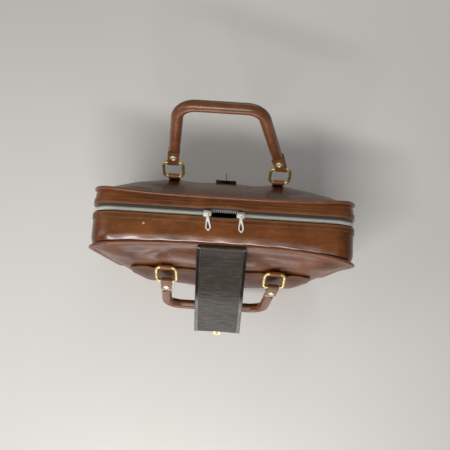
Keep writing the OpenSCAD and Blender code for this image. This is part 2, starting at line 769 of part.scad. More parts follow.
// The strap in its own frame: Z along the strap. Thrown open it shows its lining, at +Y. Its leather,
// at -Y, is underneath then and outside once the case is closed.
strap_half = (strap_leather_t + strap_lining_t) / 2;
strap_skin = strap_half + binding_t;
strap_root_lean = 180 + 54;
strap_end_lean = 180 + 42;
strap_pivot = [-seam_y + front_pinch - piping_r - strap_skin - 0.2, case_h + strap_skin + 0.4];
fold_pivot = along(strap_pivot, strap_root_lean, strap_root_l);
fold_room = strap_half + free_gap;
module strap_layer(from, to, y0, y1) {
    translate([-strap_w / 2, y0, from]) cube([strap_w, y1 - y0, to - from]);
}
module strap_knuckle() {
    translate([-strap_w / 2, 0, 0]) rotate([0, 90, 0]) cylinder(r = strap_half, h = strap_w);
}
module strap_bindings(from, to) {
    color("#1c1a19")
        for (m = [0, 1])
            mirror([m, 0, 0])
                translate([strap_w / 2 - binding_w, -strap_skin, from])
                    difference() {
                        cube([binding_w + binding_t, 2 * strap_skin, to - from]);
                        translate([-1, binding_t, -1]) cube([binding_w + 1, 2 * strap_half, to - from + 2]);
                    }
}
// The leather's folded end is the round knuckle that both layers turn on
module strap_leather(to) {
    color(leather) {
        strap_knuckle();
        strap_layer(0, to, -strap_half, strap_leather_t - strap_half);
    }
}
module strap_lining(to) {
    color(cloth) strap_layer(strap_half, to, strap_leather_t - strap_half, strap_half);
}
module in_strap_root() { lean(strap_pivot, strap_root_lean) children(); }
module in_strap_end() { lean(fold_pivot, strap_end_lean) children(); }
module strap_root() { in_strap_root() strap_leather(strap_root_l - fold_room); }
module strap_root_lining() { in_strap_root() strap_lining(strap_root_l - fold_room); }
module strap_root_binding() { in_strap_root() strap_bindings(4, strap_root_l - fold_room - 3); }
module strap_end() { in_strap_end() strap_leather(strap_end_l); }
module strap_end_lining() { in_strap_end() strap_lining(strap_end_l); }
module strap_end_binding() { in_strap_end() strap_bindings(4, strap_end_l); }
module strap_tongue() {
    plate_w = tongue_w + 16;
    color(brass)
        in_strap_end()
            translate([0, -strap_half - 1.4, strap_end_l - 18])
                difference() {
                    union() {
                        translate([-plate_w / 2, 0, 0]) cube([plate_w, 1.4, 18]);
                        translate([-tongue_w / 2, 0, 18]) cube([tongue_w, 1.4, tongue_l]);
                    }
                    translate([-2.6, -1, 18 + tongue_l - 8]) cube([5.2, 4, 5.2]);
                }
}
// The sewn end of the strap, in front of the piping
module strap_seam() {
    front = -seam_y + front_pinch - piping_r;
    color(leather)
        translate([-strap_w / 2, front - 0.3 - 2.6, case_h - piping_d - 0.5])
            cube([strap_w, 2.6, piping_d]);
}

// The lock in its own frame: Y out of the panel, Z up along it
lock_seat = off_face(1, 0, lock_z, 0.4);
lock_tilt = face_slope(1, 0, lock_z);
slot_half = tongue_w / 2 + 0.3;
bolt_w = 4;
bolt_t = 1.8;
bolt_l = 8;
bolt_z = lock_h / 2 - 8;
plug_z = -6;
plug_l = lock_t - 1;
module in_lock() {
    translate([0, lock_seat[0], lock_seat[1]]) rotate([lock_tilt, 0, 0]) children();
}
module lock_case() {
    mid = lock_t / 2;
    color(brass)
        in_lock()
            difference() {
                translate([-lock_w / 2, 0, -lock_h / 2]) cube([lock_w, lock_t, lock_h]);
                translate([-slot_half, mid - 1.2, bolt_z - 6]) cube([2 * slot_half, 2.4, lock_h]);
                translate([-slot_half - bolt_l - 0.6, mid - bolt_t / 2 - 0.05, bolt_z - bolt_w / 2 - 0.05])
                    cube([bolt_l + 2, bolt_t + 0.1, bolt_w + 0.1]);
                translate([0, lock_t - plug_l, plug_z])
                    rotate([-90, 0, 0]) cylinder(d = plug_d + 0.1, h = plug_l + 1);
            }
}
module lock_bolt() {
    color(nickel)
        in_lock()
            translate([-slot_half - bolt_l - 0.3, lock_t / 2 - bolt_t / 2, bolt_z - bolt_w / 2])
                cube([bolt_l, bolt_t, bolt_w]);
}
key_t = 1.2;
key_blade = plug_l - 0.6;
module lock_plug() {
    color(brass)
        in_lock()
            translate([0, 0, plug_z])
                difference() {
                    translate([0, lock_t - plug_l + 0.1, 0])
                        rotate([-90, 0, 0]) cylinder(d = plug_d, h = plug_l + 0.3);
                    translate([-key_t / 2 - 0.1, lock_t - key_blade - 0.1, -2.1])
                        cube([key_t + 0.2, key_blade + 2, 4.2]);
                }
}
module lock_key() {
    bow_r = 5.5;
    color(brass)
        in_lock()
            translate([-key_t / 2, lock_t, plug_z]) {
                translate([0, -key_blade, -2]) cube([key_t, key_blade + key_out - bow_r, 4]);
                translate([0, key_out - bow_r, 0])
                    difference() {
                        rotate([0, 90, 0]) cylinder(r = bow_r, h = key_t);
                        translate([-1, 0, 0]) rotate([0, 90, 0]) cylinder(r = 2, h = key_t + 2);
                    }
            }
}

front_panel();
front_piping();
front_gusset();
front_facing();
front_tape();
front_teeth();
front_zip_stops();
front_sole();
base_board();
front_pocket();
brass_stud();
front_loop_left();
front_loop_right();
strap_seam();
hinge_strip();
back_panel();
back_piping();
back_gusset();
back_facing();
back_tape();
back_teeth();
back_zip_stops();
back_sole();
back_loop_left();
back_loop_right();
lock_case();
lock_plug();
lock_key();
lock_bolt();
slider_left();
slider_right();
pull_left();
pull_right();
back_ring_left();
back_ring_right();
back_grip();
back_tab_left();
back_tab_right();
back_rivets();
front_ring_left();
front_ring_right();
front_grip();
front_tab_left();
front_tab_right();
front_rivets();
strap_root();
strap_root_lining();
strap_root_binding();
strap_end();
strap_end_lining();
strap_end_binding();
strap_tongue();
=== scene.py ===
"""Soft-sided leather travel case with a zip round three sides: its looks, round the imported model."""
import json
from math import atan, atan2, copysign, cos, exp, pi, radians, sin, sqrt, tan

import bpy
from mathutils import Matrix, Vector, noise


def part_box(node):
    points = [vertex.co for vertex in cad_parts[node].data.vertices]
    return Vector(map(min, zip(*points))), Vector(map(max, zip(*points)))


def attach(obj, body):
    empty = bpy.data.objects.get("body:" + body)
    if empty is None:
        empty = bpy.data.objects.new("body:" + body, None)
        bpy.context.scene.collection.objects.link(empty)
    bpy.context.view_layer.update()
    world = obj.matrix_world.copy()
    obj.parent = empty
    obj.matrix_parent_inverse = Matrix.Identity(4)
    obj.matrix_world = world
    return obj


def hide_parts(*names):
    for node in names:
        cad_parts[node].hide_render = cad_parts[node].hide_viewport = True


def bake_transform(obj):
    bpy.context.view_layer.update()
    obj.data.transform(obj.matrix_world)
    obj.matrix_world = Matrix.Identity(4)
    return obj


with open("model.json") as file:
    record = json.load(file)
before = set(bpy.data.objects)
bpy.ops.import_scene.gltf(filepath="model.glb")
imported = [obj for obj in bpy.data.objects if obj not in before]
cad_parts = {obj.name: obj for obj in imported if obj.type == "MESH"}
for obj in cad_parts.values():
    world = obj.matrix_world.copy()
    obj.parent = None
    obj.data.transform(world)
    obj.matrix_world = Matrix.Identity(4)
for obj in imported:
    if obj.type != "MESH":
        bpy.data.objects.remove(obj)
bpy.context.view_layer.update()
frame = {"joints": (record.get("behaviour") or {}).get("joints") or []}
joints = {j["name"]: j for j in frame["joints"]}
MM = 0.001


# Sizes that the frame gives

def pivot(name):
    """Where a hinge's axis crosses the middle plane, as Y and Z."""
    return Vector(joints[name]["pos_m"][1:])


HALF_W, _, CASE_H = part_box("front_piping")[1]
FLAT_W, _, SKIN_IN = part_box("front_sole")[1]
CORNER_R = HALF_W - FLAT_W
MID_Z = CASE_H / 2
ZIP_Y = pivot("case_open")[0]
SIDE_X = abs(joints["back_ring_left"]["pos_m"][0])
PULL_X = abs(joints["pull_left"]["pos_m"][0])
STRAP_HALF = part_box("strap_root")[1].x
POCKET_LOW, POCKET_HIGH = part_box("front_pocket")

# Sizes of the leather work: 1 is the back half and -1 the front half
WORD = {1: "back", -1: "front"}
HALF = {1: "back_half", -1: "front_half"}
HAND = {1: "right", -1: "left"}
PIPING_R = 3 * MM
PIPING_SINK = {1: 1.5 * MM, -1: 3.4 * MM}
SEAM_Y = 45.5 * MM
PINCH = {1: 7 * MM, -1: 11.5 * MM}
DROOP = {1: 0.0, -1: 4 * MM}
BULGE = {1: 42 * MM, -1: 30 * MM}
LEATHER_T = 2.4 * MM
SKIN_OUT = SKIN_IN + LEATHER_T
PANEL_INSET = 2 * PIPING_R
PANEL_HALF_W = HALF_W - PANEL_INSET
PANEL_HALF_H = MID_Z - PANEL_INSET
PANEL_POWER = 2.5
PANEL_REACH = 1.012
# How far from its seam a gusset begins to slope, and how steeply
GUSSET_SLOPE = {1: (8 * MM, 0.38), -1: (13 * MM, 0.4)}
REVEAL = {1: 8 * MM, -1: 5.6 * MM}
FACING_W = 9 * MM
FACING_T = 1.2 * MM
# The facings' edges bow less than the teeth where the zip is open
FACING_BOW = {1: 0.4, -1: 0.25}
PARTING = 5 * MM
PARTING_END = PULL_X + 6 * MM
TAPE_W = 18 * MM
TAPE_T = 0.8 * MM
CHAIN_MID = SKIN_OUT + TAPE_T / 2
CHAIN_HALF = 3 * MM
TOOTH_PITCH = 3.2 * MM
TOOTH_T = 2.6 * MM
# From the end of the tapes to the first and the last tooth
TOOTH_START = 6.2 * MM
STOP_L = 2.8 * MM
STRIP_END = 46 * MM
STITCH_L = 3.4 * MM
STITCH_PITCH = 4.6 * MM
STITCH_SINK = 0.45
PATH_SAMPLES = 400
POCKET_HALF_W = POCKET_HIGH.x
POCKET_HALF_H = (POCKET_HIGH.z - POCKET_LOW.z) / 2
POCKET_Z = (POCKET_HIGH.z + POCKET_LOW.z) / 2
POCKET_GAP = 6 * MM
POCKET_T = 2.2 * MM
POCKET_TOUCH = 0.35 * MM
LOOP_LOW = {1: 46 * MM, -1: 45 * MM}
LOOP_FOOT = {1: 16 * MM, -1: 17 * MM}
RING_WIRE_R = 2.6 * MM
RING_CORNER_R = 8.5 * MM
TAB_W = 17.8 * MM
TAB_L = 30 * MM
TAB_T = 2 * MM
LEG_T = 6 * MM
LEG_START = RING_WIRE_R + 3.08 * MM
GRIP_R = 8.5 * MM
GRIP_BEND = 28 * MM
HANDLE_RISE = 130 * MM
RIVET_R = 5.3 * MM
RIVET_Z = 0.57 * TAB_L
# How the rings of a rivet's head and of the stud rise, in mm, and shrink
RIVET_STEPS = ((0.9, 0.98), (0.5, 0.9), (0.3, 0.86), (0.0, 0.8), (-0.35, 0.86), (-0.7, 0.9), (-0.1, 0.6))
STUD_STEPS = ((0.35, 1.0), (0.35, 0.9), (0.3, 0.78), (0.2, 0.62), (0.08, 0.4))
# How far each handle leans, and each one's left and right leg outwards, in degrees
HANDLE_LEAN = {1: 19.0, -1: 194.0}
LEG_LEAN = {1: (-6, -18), -1: (4, -2)}
# The strap's flat length past its bend, its bend's direction in degrees, and its layers
STRAP_END_L = 84 * MM
STRAP_TURN = 222
STRAP_T = 3.8 * MM
BINDING_W = 6 * MM
BINDING_T = 0.5 * MM
LOCK_T = 6 * MM
LOCK_HALF = (17 * MM, 22 * MM)
PLUG_DROP = 6 * MM
MERGE = 0.01 * MM


# Small helpers

def smooth(t):
    t = min(1.0, max(0.0, t))
    return t * t * (3 - 2 * t)


def mix(a, b, t):
    return a + (b - a) * t


def bump(distance, width):
    """A soft hill: 1 at its top and about 0 at twice its width."""
    return exp(-((distance / width) ** 2))


def wander(x, y, z, size):
    """Smooth noise from -1 to 1 whose hills are about one size apart."""
    return noise.noise(Vector((x / size, y / size, z / size)))


def turn_by(degrees):
    """A direction in the plane, turned from its first axis, as a cosine and a sine."""
    return cos(radians(degrees)), sin(radians(degrees))


def in_mm(points):
    return [(x * MM, y * MM) for x, y in points]


def both_halves(points):
    """An outline in mm from the points of its left or right half."""
    return in_mm(points + [(-x, y) for x, y in reversed(points)])


def rectangle(x0, y0, x1, y1):
    return [(x0, y0), (x1, y0), (x1, y1), (x0, y1)]


def run_lengths(points):
    """How far along a line of points each of them lies."""
    runs = [0.0]
    for p, q in zip(points, points[1:]):
        runs.append(runs[-1] + (q - p).length)
    return runs


def spot_on(points, runs, u):
    """Where a share of a line's length falls: in which step, how far into it, and the point there."""
    d = u * runs[-1]
    i = next((k for k in range(len(runs) - 2) if runs[k + 1] >= d), len(runs) - 2)
    t = (d - runs[i]) / max(1e-9, runs[i + 1] - runs[i])
    return i, t, points[i].lerp(points[i + 1], t)


def axes(x, y, z, point):
    """A matrix with its axes along three directions and its origin at a point."""
    return Matrix((*zip(x, y, z, point), (0, 0, 0, 1)))


def select_only(obj):
    bpy.ops.object.select_all(action="DESELECT")
    obj.select_set(True)
    bpy.context.view_layer.objects.active = obj


def open_mesh(obj):
    """Opens a piece for mesh tools, with all its faces selected."""
    select_only(obj)
    bpy.ops.object.mode_set(mode="EDIT")
    bpy.ops.mesh.select_all(action="SELECT")


def close_mesh():
    bpy.ops.object.mode_set(mode="OBJECT")


def apply_place():
    bpy.ops.object.transform_apply(location=True, rotation=True, scale=True)


def finish_piece(obj, name, body, material, *nodes):
    """Names and shades a piece and ties it to its body; a piece given between two bodies only has its place baked into
    its points.
    """
    obj.name = name
    obj.data.name = name
    if not obj.data.materials:
        obj.data.materials.append(material)
    select_only(obj)
    bpy.ops.object.shade_smooth_by_angle(angle=radians(40))
    if isinstance(body, str):
        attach(obj, body)
    else:
        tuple(body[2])
        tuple(body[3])
        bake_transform(obj)
    if nodes:
        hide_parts(*nodes)


def modify(obj, kind, **settings):
    """Adds a modifier with its settings and applies it."""
    select_only(obj)
    mod = obj.modifiers.new(kind.title(), kind)
    for key, value in settings.items():
        setattr(mod, key, value)
    bpy.ops.object.modifier_apply(modifier=mod.name)


def cut_out(obj, cutter):
    """Cuts a shape out of a piece. The cutter goes."""
    modify(obj, "BOOLEAN", operation="DIFFERENCE", object=cutter, solver="EXACT")
    bpy.data.objects.remove(cutter)


def remap(obj, place):
    """Moves each point of a piece to place(point)."""
    for vertex in obj.data.vertices:
        vertex.co = place(vertex.co)


def shift(obj, x=0.0, y=0.0, z=0.0):
    remap(obj, lambda p: (p.x + x, p.y + y, p.z + z))


def tidy_mesh(obj, merge=0.0, fill=False, turn=True):
    """Joins doubles, closes open ends and turns the faces outwards."""
    open_mesh(obj)
    if merge:
        bpy.ops.mesh.remove_doubles(threshold=merge)
    if fill:
        bpy.ops.mesh.select_all(action="DESELECT")
        bpy.ops.mesh.select_non_manifold()
        bpy.ops.mesh.fill_holes(sides=0)
        bpy.ops.mesh.select_all(action="SELECT")
    if turn:
        bpy.ops.mesh.normals_make_consistent(inside=False)
    close_mesh()


def sheet(columns, rows, place, flip=False):
    """A grid whose points are moved to place(u, v), with u and v from 0 to 1. Its UV map holds u and v."""
    bpy.ops.mesh.primitive_grid_add(x_subdivisions=columns, y_subdivisions=rows, size=2, calc_uvs=True)
    obj = bpy.context.object
    remap(obj, lambda p: place((p.x + 1) / 2, (p.y + 1) / 2))
    if flip:
        open_mesh(obj)
        bpy.ops.mesh.flip_normals()
        close_mesh()
    return obj


def tube(columns, rows, place, fill=True):
    """A closed skin, with u along it and v round it."""
    obj = sheet(columns, rows, place)
    tidy_mesh(obj, MERGE, fill)
    return obj


def joined(pieces):
    """Makes several meshes one object."""
    select_only(pieces[0])
    for piece in pieces:
        piece.select_set(True)
    bpy.ops.object.join()
    return pieces[0]


def cut_plate(points, thick, bevel=0.3 * MM, segments=2):
    """A plate with rounded edges. Its outline is drawn in X and Y, and it rises from 0 to its thickness."""
    bpy.ops.mesh.primitive_circle_add(vertices=len(points), radius=1, fill_type="NGON")
    obj = bpy.context.object
    for vertex, (x, y) in zip(obj.data.vertices, points):
        vertex.co = (x, y, 0)
    open_mesh(obj)
    bpy.ops.mesh.extrude_region_move(TRANSFORM_OT_translate={"value": (0, 0, thick)})
    close_mesh()
    tidy_mesh(obj)
    modify(obj, "BEVEL", width=bevel, segments=segments, limit_method="ANGLE", angle_limit=radians(40))
    return obj


def rounded_box(low, high, bevel=0.3 * MM, segments=2):
    """A block between two corners, with bevelled edges."""
    (x0, y0, z0), (x1, y1, z1) = low, high
    obj = cut_plate(rectangle(x0, y0, x1, y1), z1 - z0, bevel, segments)
    shift(obj, z=z0)
    return obj


def disc_points(radius, count, x=0.0, y=0.0):
    return [(x + radius * cos(k * pi / (count / 2)), y + radius * sin(k * pi / (count / 2)))
            for k in range(count)]


def round_head(radius, count, steps, x=0.0, y=0.0, z=0.0):
    """A round head built up in rings: each step rises some mm and shrinks."""
    bpy.ops.mesh.primitive_circle_add(vertices=count, radius=radius, fill_type="NGON", location=(x, y, z))
    obj = bpy.context.object
    apply_place()
    open_mesh(obj)
    for rise, shrink in steps:
        bpy.ops.mesh.extrude_region_move(TRANSFORM_OT_translate={"value": (0, 0, rise * MM)})
        bpy.ops.transform.resize(value=(shrink, shrink, 1), center_override=(x, y, 0))
    close_mesh()
    tidy_mesh(obj)
    return obj


def rounded_path(corners, radius, steps=6, closed=True):
    """Points round a polygon in the plane whose corners are rounded off."""
    count, points = len(corners), []
    for i in range(count):
        p = Vector(corners[i])
        if not closed and i in (0, count - 1):
            points.append(p)
            continue
        before, after = Vector(corners[i - 1]) - p, Vector(corners[(i + 1) % count]) - p
        reach = min(radius / tan(before.angle(after) / 2), 0.49 * before.length, 0.49 * after.length)
        a, b = p + before.normalized() * reach, p + after.normalized() * reach
        for k in range(steps + 1):
            t = k / steps
            points.append(a * (1 - t) ** 2 + p * 2 * t * (1 - t) + b * t ** 2)
    return points


def wire(points, closed, radius, sides, columns):
    """A round wire along points in the XY plane."""
    ends = points + [points[0]] if closed else points
    runs = run_lengths(ends)

    def at(u):
        return spot_on(ends, runs, u)[2]

    def place(u, v):
        p, step = at(u), 0.003
        ahead, behind = ((u + step) % 1, (u - step) % 1) if closed else (min(1, u + step), max(0, u - step))
        tangent = (at(ahead) - at(behind)).normalized()
        across, up = radius * cos(2 * pi * v), radius * sin(2 * pi * v)
        return Vector((p.x + tangent.y * across, p.y - tangent.x * across, up))

    return tube(columns, sides, place, fill=not closed)


# Outline and panels

SIDE_L = CASE_H - 2 * CORNER_R
ARC_L = CORNER_R * pi / 2
PERIMETER = 4 * FLAT_W + 2 * SIDE_L + 4 * ARC_L
# From the middle of the base to the lower ends of the zip
ZIP_START = FLAT_W + ARC_L + STRIP_END - CORNER_R


def outline(d):
    """Point and outward normal on the outline, d metres from the middle of the base, turning by the right side."""
    d = d % PERIMETER
    if d < FLAT_W:
        return d, 0.0, 0.0, -1.0
    d -= FLAT_W
    corners = [(FLAT_W, CORNER_R, -90), (FLAT_W, CASE_H - CORNER_R, 0),
               (-FLAT_W, CASE_H - CORNER_R, 90), (-FLAT_W, CORNER_R, 180)]
    runs = [SIDE_L, 2 * FLAT_W, SIDE_L, FLAT_W]
    for (cx, cz, start), run in zip(corners, runs):
        if d < ARC_L:
            a = radians(start) + d / CORNER_R
            return cx + CORNER_R * cos(a), cz + CORNER_R * sin(a), cos(a), sin(a)
        d -= ARC_L
        if d <= run:
            a = radians(start + 90)
            return (cx + CORNER_R * cos(a) - d * sin(a),
                    cz + CORNER_R * sin(a) + d * cos(a), cos(a), sin(a))
        d -= run
    return 0.0, 0.0, 0.0, -1.0


def seam_y(side, x, z):
    """Y of a seam: pinched in towards the middle of the top, and drooping at the front right corner."""
    pinch = (1 - min(1.0, abs(x) / HALF_W) ** 3) * (max(0.0, z) / CASE_H) ** 3
    droop = smooth((x - 0.45 * HALF_W) / (0.5 * HALF_W)) * smooth((z / CASE_H - 0.5) / 0.45)
    return side * (SEAM_Y - PINCH[side] * pinch) - DROOP[side] * droop


def swell(share, x, z):
    """From 1 in the panel's middle to 0 at its seam."""
    u = abs(x) / PANEL_HALF_W
    v = abs(z - MID_Z) / PANEL_HALF_H
    oval = (u ** PANEL_POWER + v ** PANEL_POWER) ** (1 / PANEL_POWER)
    w = share ** 3
    return 1 - (share * w + oval * (1 - w)) ** PANEL_POWER


# Soft forms of the panels: X, Z, direction in degrees, length, width and depth. A negative depth swells out.
FOLDS = {
    # Full shoulders below the top and down both sides, with a dimple above each ring
    -1: [(0, 252, 0, 150, 20, -9.5), (-140, 172, 90, 88, 34, -9.5), (140, 172, 90, 88, 34, -9.5),
         (-100, 262, 20, 15, 9, 3.4), (76, 258, -15, 17, 9, 3.0), (-150, 238, 60, 34, 8, 1.5),
         (150, 236, -55, 38, 9, 1.6)],
    # Full upper corners, and the hide drawn out to the rings
    1: [(-150, 228, 0, 48, 38, -9.5), (150, 228, 0, 48, 38, -9.5), (-88, 224, 0, 30, 28, -6),
        (88, 224, 0, 30, 28, -6), (0, 215, 0, 60, 30, -2.5), (-120, 256, 25, 45, 10, 1.6),
        (118, 254, -30, 50, 10, 1.6), (-150, 120, 80, 60, 12, 1.6), (155, 110, -75, 60, 12, 1.8)],
}


def fold_depth(side, x, z):
    """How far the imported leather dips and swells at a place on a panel."""
    total = 0.9 * MM * wander(x, side * 0.2, z, 70 * MM) + 0.35 * MM * wander(x, side * 0.4, z, 24 * MM)
    for fx, fz, turn, length, width, depth in FOLDS[side]:
        dx, dz = x - fx * MM, z - fz * MM
        c, s = turn_by(turn)
        along, across = dx * c + dz * s, dz * c - dx * s
        total -= depth * MM * bump(along, length * MM) * bump(across, width * MM)
    return total


def panel_y(side, share, x, z, off=0.0):
    rim = smooth((1 - share) / 0.12)
    y = seam_y(side, x, z) + side * (BULGE[side] * swell(share, x, z) + off)
    return y + side * rim * fold_depth(side, x, z)


def share_at(x, z):
    """Share of the way from the panel's middle to its rounded outline at a place."""
    u, v, r = abs(x), abs(z - MID_Z), CORNER_R - PANEL_INSET
    a, b = PANEL_HALF_W - r, PANEL_HALF_H - r
    q, h = a * a + b * b - r * r, a * u + b * v
    root = h * h - q * (u * u + v * v)
    if root > 0:
        share = (h - sqrt(root)) / q
        if u > share * a and v > share * b:
            return share
    return max(u / PANEL_HALF_W, v / PANEL_HALF_H)


def face_y(side, x, z):
    """Y of a panel's outer face."""
    return panel_y(side, share_at(x, z), x, z, LEATHER_T / 2)


def rounded_place(u, v):
    """A point of a rounded panel from its middle, and its share of the way to the outline: squares round
    the middle become scaled copies of the outline."""
    u, v = 2 * u - 1, 2 * v - 1
    share = max(abs(u), abs(v))
    if share < 1e-6:
        return 0.0, 0.0, 0.0
    half_w, half_h, r = PANEL_HALF_W, PANEL_HALF_H, CORNER_R - PANEL_INSET
    px, pz = half_w * abs(u) / share, half_h * abs(v) / share
    if px > half_w - r and pz > half_h - r:
        if abs(u) >= abs(v):
            a = radians(45) * (pz - half_h + r) / r
        else:
            a = radians(90) - radians(45) * (px - half_w + r) / r
        px, pz = half_w - r + r * cos(a), half_h - r + r * sin(a)
    return copysign(px, u) * share, copysign(pz, v) * share, share


# Materials

def srgb(code):
    """A hex colour as linear red, green, blue and alpha."""
    channels = [int(code[i:i + 2], 16) / 255 for i in (1, 3, 5)]
    return tuple(c / 12.92 if c <= 0.04045 else ((c + 0.055) / 1.055) ** 2.4 for c in channels) + (1.0,)


def add_node(tree, kind, inputs=None, **settings):
    """Adds a node with its settings, and links or fills its inputs."""
    new = tree.nodes.new(kind)
    for key, value in settings.items():
        setattr(new, key, value)
    for key, value in (inputs or {}).items():
        if isinstance(value, bpy.types.NodeSocket):
            tree.links.new(value, new.inputs[key])
        else:
            new.inputs[key].default_value = value
    return new


def new_material(name):
    """A material with its shader, its node tree and the piece's own coordinates."""
    material = bpy.data.materials.new(name)
    material.use_nodes = True
    tree = material.node_tree
    return material, tree, tree.nodes["Principled BSDF"], add_node(tree, "ShaderNodeTexCoord").outputs


def clouds(tree, where, size, detail, roughness=0.5, distortion=0.0):
    """Noise whose hills are about one size apart."""
    return add_node(tree, "ShaderNodeTexNoise", {"Vector": where, "Scale": 1 / size, "Detail": detail,
                                                 "Roughness": roughness, "Distortion": distortion}).outputs["Fac"]


def stretched(tree, value, low, high, to_low=0.0, to_high=1.0):
    return add_node(tree, "ShaderNodeMapRange", {"Value": value, "From Min": low, "From Max": high,
                                                 "To Min": to_low, "To Max": to_high}).outputs["Result"]


def blended(tree, share, a, b, **settings):
    """A mix of two colours."""
    return add_node(tree, "ShaderNodeMix", {0: share, 6: a, 7: b}, data_type="RGBA", **settings).outputs[2]


def combined(tree, a, b, **settings):
    """A sum, a product or the like of two values."""
    return add_node(tree, "ShaderNodeMath", {0: a, 1: b}, **settings).outputs[0]


def relief(tree, height, strength, distance, **under):
    return add_node(tree, "ShaderNodeBump", {"Height": height, "Strength": strength, "Distance": distance,
                                             **under}).outputs["Normal"]


def connect(tree, shader, sockets):
    for key, socket in sockets.items():
        tree.links.new(socket, shader.inputs[key])


def leather(name, deep, body, pale, roughness, coat, grain=0.9 * MM, crease=9 * MM, depth=1.0):
    """Glazed cowhide: dye that pools in soft clouds and streaks, pores in a pebble grain, low creases
    and rubbed edges."""
    material, tree, shader, place = new_material(name)
    where = place["Object"]
    drawn = add_node(tree, "ShaderNodeMapping", {"Vector": where, "Scale": (0.22, 1.0, 1.0)}).outputs["Vector"]
    dye = add_node(tree, "ShaderNodeMix", {0: 0.4, 2: clouds(tree, where, 60 * MM, 3.0),
                                           3: clouds(tree, drawn, 7 * MM, 4.0, 0.55)}).outputs[0]
    tone = blended(tree, stretched(tree, dye, 0.36, 0.62), srgb(deep), srgb(body))
    # Small rubbed patches let the paler hide through the dye
    rub = clouds(tree, where, 11 * MM, 5.0, 0.65)
    worn = add_node(tree, "ShaderNodeAttribute", attribute_name="wear").outputs["Fac"]
    rubbed = combined(tree, worn, stretched(tree, rub, 0.52, 0.8, 0.0, 0.3), operation="ADD", use_clamp=True)
    dyed = blended(tree, rubbed, tone, srgb(pale))
    pebble = add_node(tree, "ShaderNodeTexVoronoi", {"Vector": where, "Scale": 1 / grain},
                      feature="DISTANCE_TO_EDGE").outputs["Distance"]
    pores = stretched(tree, pebble, 0.0, 0.16)
    shade = blended(tree, 1.0, dyed, stretched(tree, pores, 0.0, 1.0, 0.8), blend_type="MULTIPLY")
    fine = relief(tree, pores, 0.3, 0.08 * MM)
    broad = relief(tree, clouds(tree, drawn, crease, 5.0, 0.5, 0.4), 0.5, 1.2 * MM * depth, Normal=fine)
    gloss = stretched(tree, rub, 0.3, 0.7, roughness - 0.04, roughness + 0.09)
    connect(tree, shader, {"Base Color": shade, "Normal": broad, "Roughness": gloss})
    shader.inputs["Specular IOR Level"].default_value = 0.3
    shader.inputs["Coat Weight"].default_value = coat
    shader.inputs["Coat Roughness"].default_value = 0.16
    return material


def polished_metal(name, bright, dull, roughness):
    """Polished metal with handling marks: clean metal with duller tarnish in patches."""
    material, tree, shader, place = new_material(name)
    spots = clouds(tree, place["Object"], 6 * MM, 5.0, 0.7)
    scratches = clouds(tree, place["Object"], 1.5 * MM, 3.0)
    connect(tree, shader, {"Base Color": blended(tree, stretched(tree, spots, 0.42, 0.68), srgb(bright), srgb(dull)),
                           "Roughness": stretched(tree, spots, 0.0, 1.0, roughness - 0.05, roughness + 0.15),
                           "Normal": relief(tree, scratches, 0.12, 0.05 * MM)})
    shader.inputs["Metallic"].default_value = 1.0
    return material


def woven(name, base, thread, pitch, use_map=True, rough=0.85):
    """Woven cloth: two sets of threads that cross, with slubs and a faint sheen."""
    material, tree, shader, place = new_material(name)
    threads = [add_node(tree, "ShaderNodeTexWave", {"Vector": place["UV" if use_map else "Object"],
                                                    "Scale": pi / 10 / pitch, "Distortion": 0.3},
                        bands_direction=way).outputs["Fac"] for way in ("X", "Y" if use_map else "Z")]
    crossing = combined(tree, *threads, operation="MAXIMUM")
    lit = combined(tree, crossing, clouds(tree, place["Object"], 9 * MM, 4.0), operation="MULTIPLY")
    connect(tree, shader, {"Base Color": blended(tree, lit, srgb(base), srgb(thread)),
                           "Normal": relief(tree, crossing, 0.5, 0.2 * MM)})
    shader.inputs["Roughness"].default_value = rough
    shader.inputs["Sheen Weight"].default_value = 0.25
    return material


# Glazed cowhide, orange-brown and glossy, paler where it is rubbed
case_hide = leather("glazed_cowhide", "#55280e", "#80461d", "#a06b3e", 0.3, 0.15)
# The gusset's hide, with the most glaze left on it
gusset_hide = leather("gusset_cowhide", "#582a0f", "#82481f", "#a06b3e", 0.3, 0.45)
# The panels' and the pocket's hide: the case's cowhide painted darker as shade, for faces that stand upright away from
# the lamps
shaded_panel_hide = leather("panel_cowhide_painted_shade", "#4a230c", "#723c18", "#a0693e", 0.3, 0.12)
# The pocket's hide is painted darker still, as shade on a face that turns down and away from the lamps
shaded_pocket_hide = leather("pocket_cowhide_painted_shade", "#3f1c08", "#5f3012", "#8f5a32", 0.36, 0.05)
# The same hide pulled over the piping cord
piping_hide = leather("piping_cowhide", "#4a230f", "#733f1d", "#a0694a", 0.3, 0.2, crease=5 * MM)
# Folded facing beside the zip, skived thin
facing_hide = leather("facing_cowhide", "#5a2d13", "#7d4821", "#a47550", 0.32, 0.15, crease=6 * MM, depth=0.7)
# Sole leather: thick, dark and scuffed
sole_hide = leather("sole_leather", "#2c180e", "#4f2f1b", "#7d5a3f", 0.55, 0.0, grain=1.4 * MM)
# Rolled handle leather, rubbed smooth by hands
grip_hide = leather("handle_cowhide", "#44200d", "#6a3a1a", "#97643e", 0.28, 0.25, crease=6 * MM, depth=0.7)
# Grained goatskin lining of the strap: dark grey-brown, with a dull glaze
lining_hide = leather("goatskin_lining", "#1f1912", "#372d22", "#6a5d4e", 0.4, 0.0, grain=1.2 * MM, crease=5 * MM,
                      depth=1.6)
# Black painted binding on the strap's edges
edge_binding = leather("black_edge_binding", "#0a0a0a", "#141313", "#3a3735", 0.28, 0.2, depth=0.5)
# Raw cut edge of vegetable-tanned hide: pale and fibrous
cut_hide = leather("cut_hide_edge", "#8d7a6a", "#b3a292", "#cfc3b5", 0.8, 0.0, grain=0.8 * MM, crease=2 * MM)
# Cast and polished brass, pale yellow, slightly tarnished
brass_metal = polished_metal("polished_brass", "#e0d096", "#a58c50", 0.44)
# Satin lacquered brass of the rivet heads, paler than the rings
rivet_metal = polished_metal("satin_brass", "#f6eed8", "#d9cda9", 0.5)
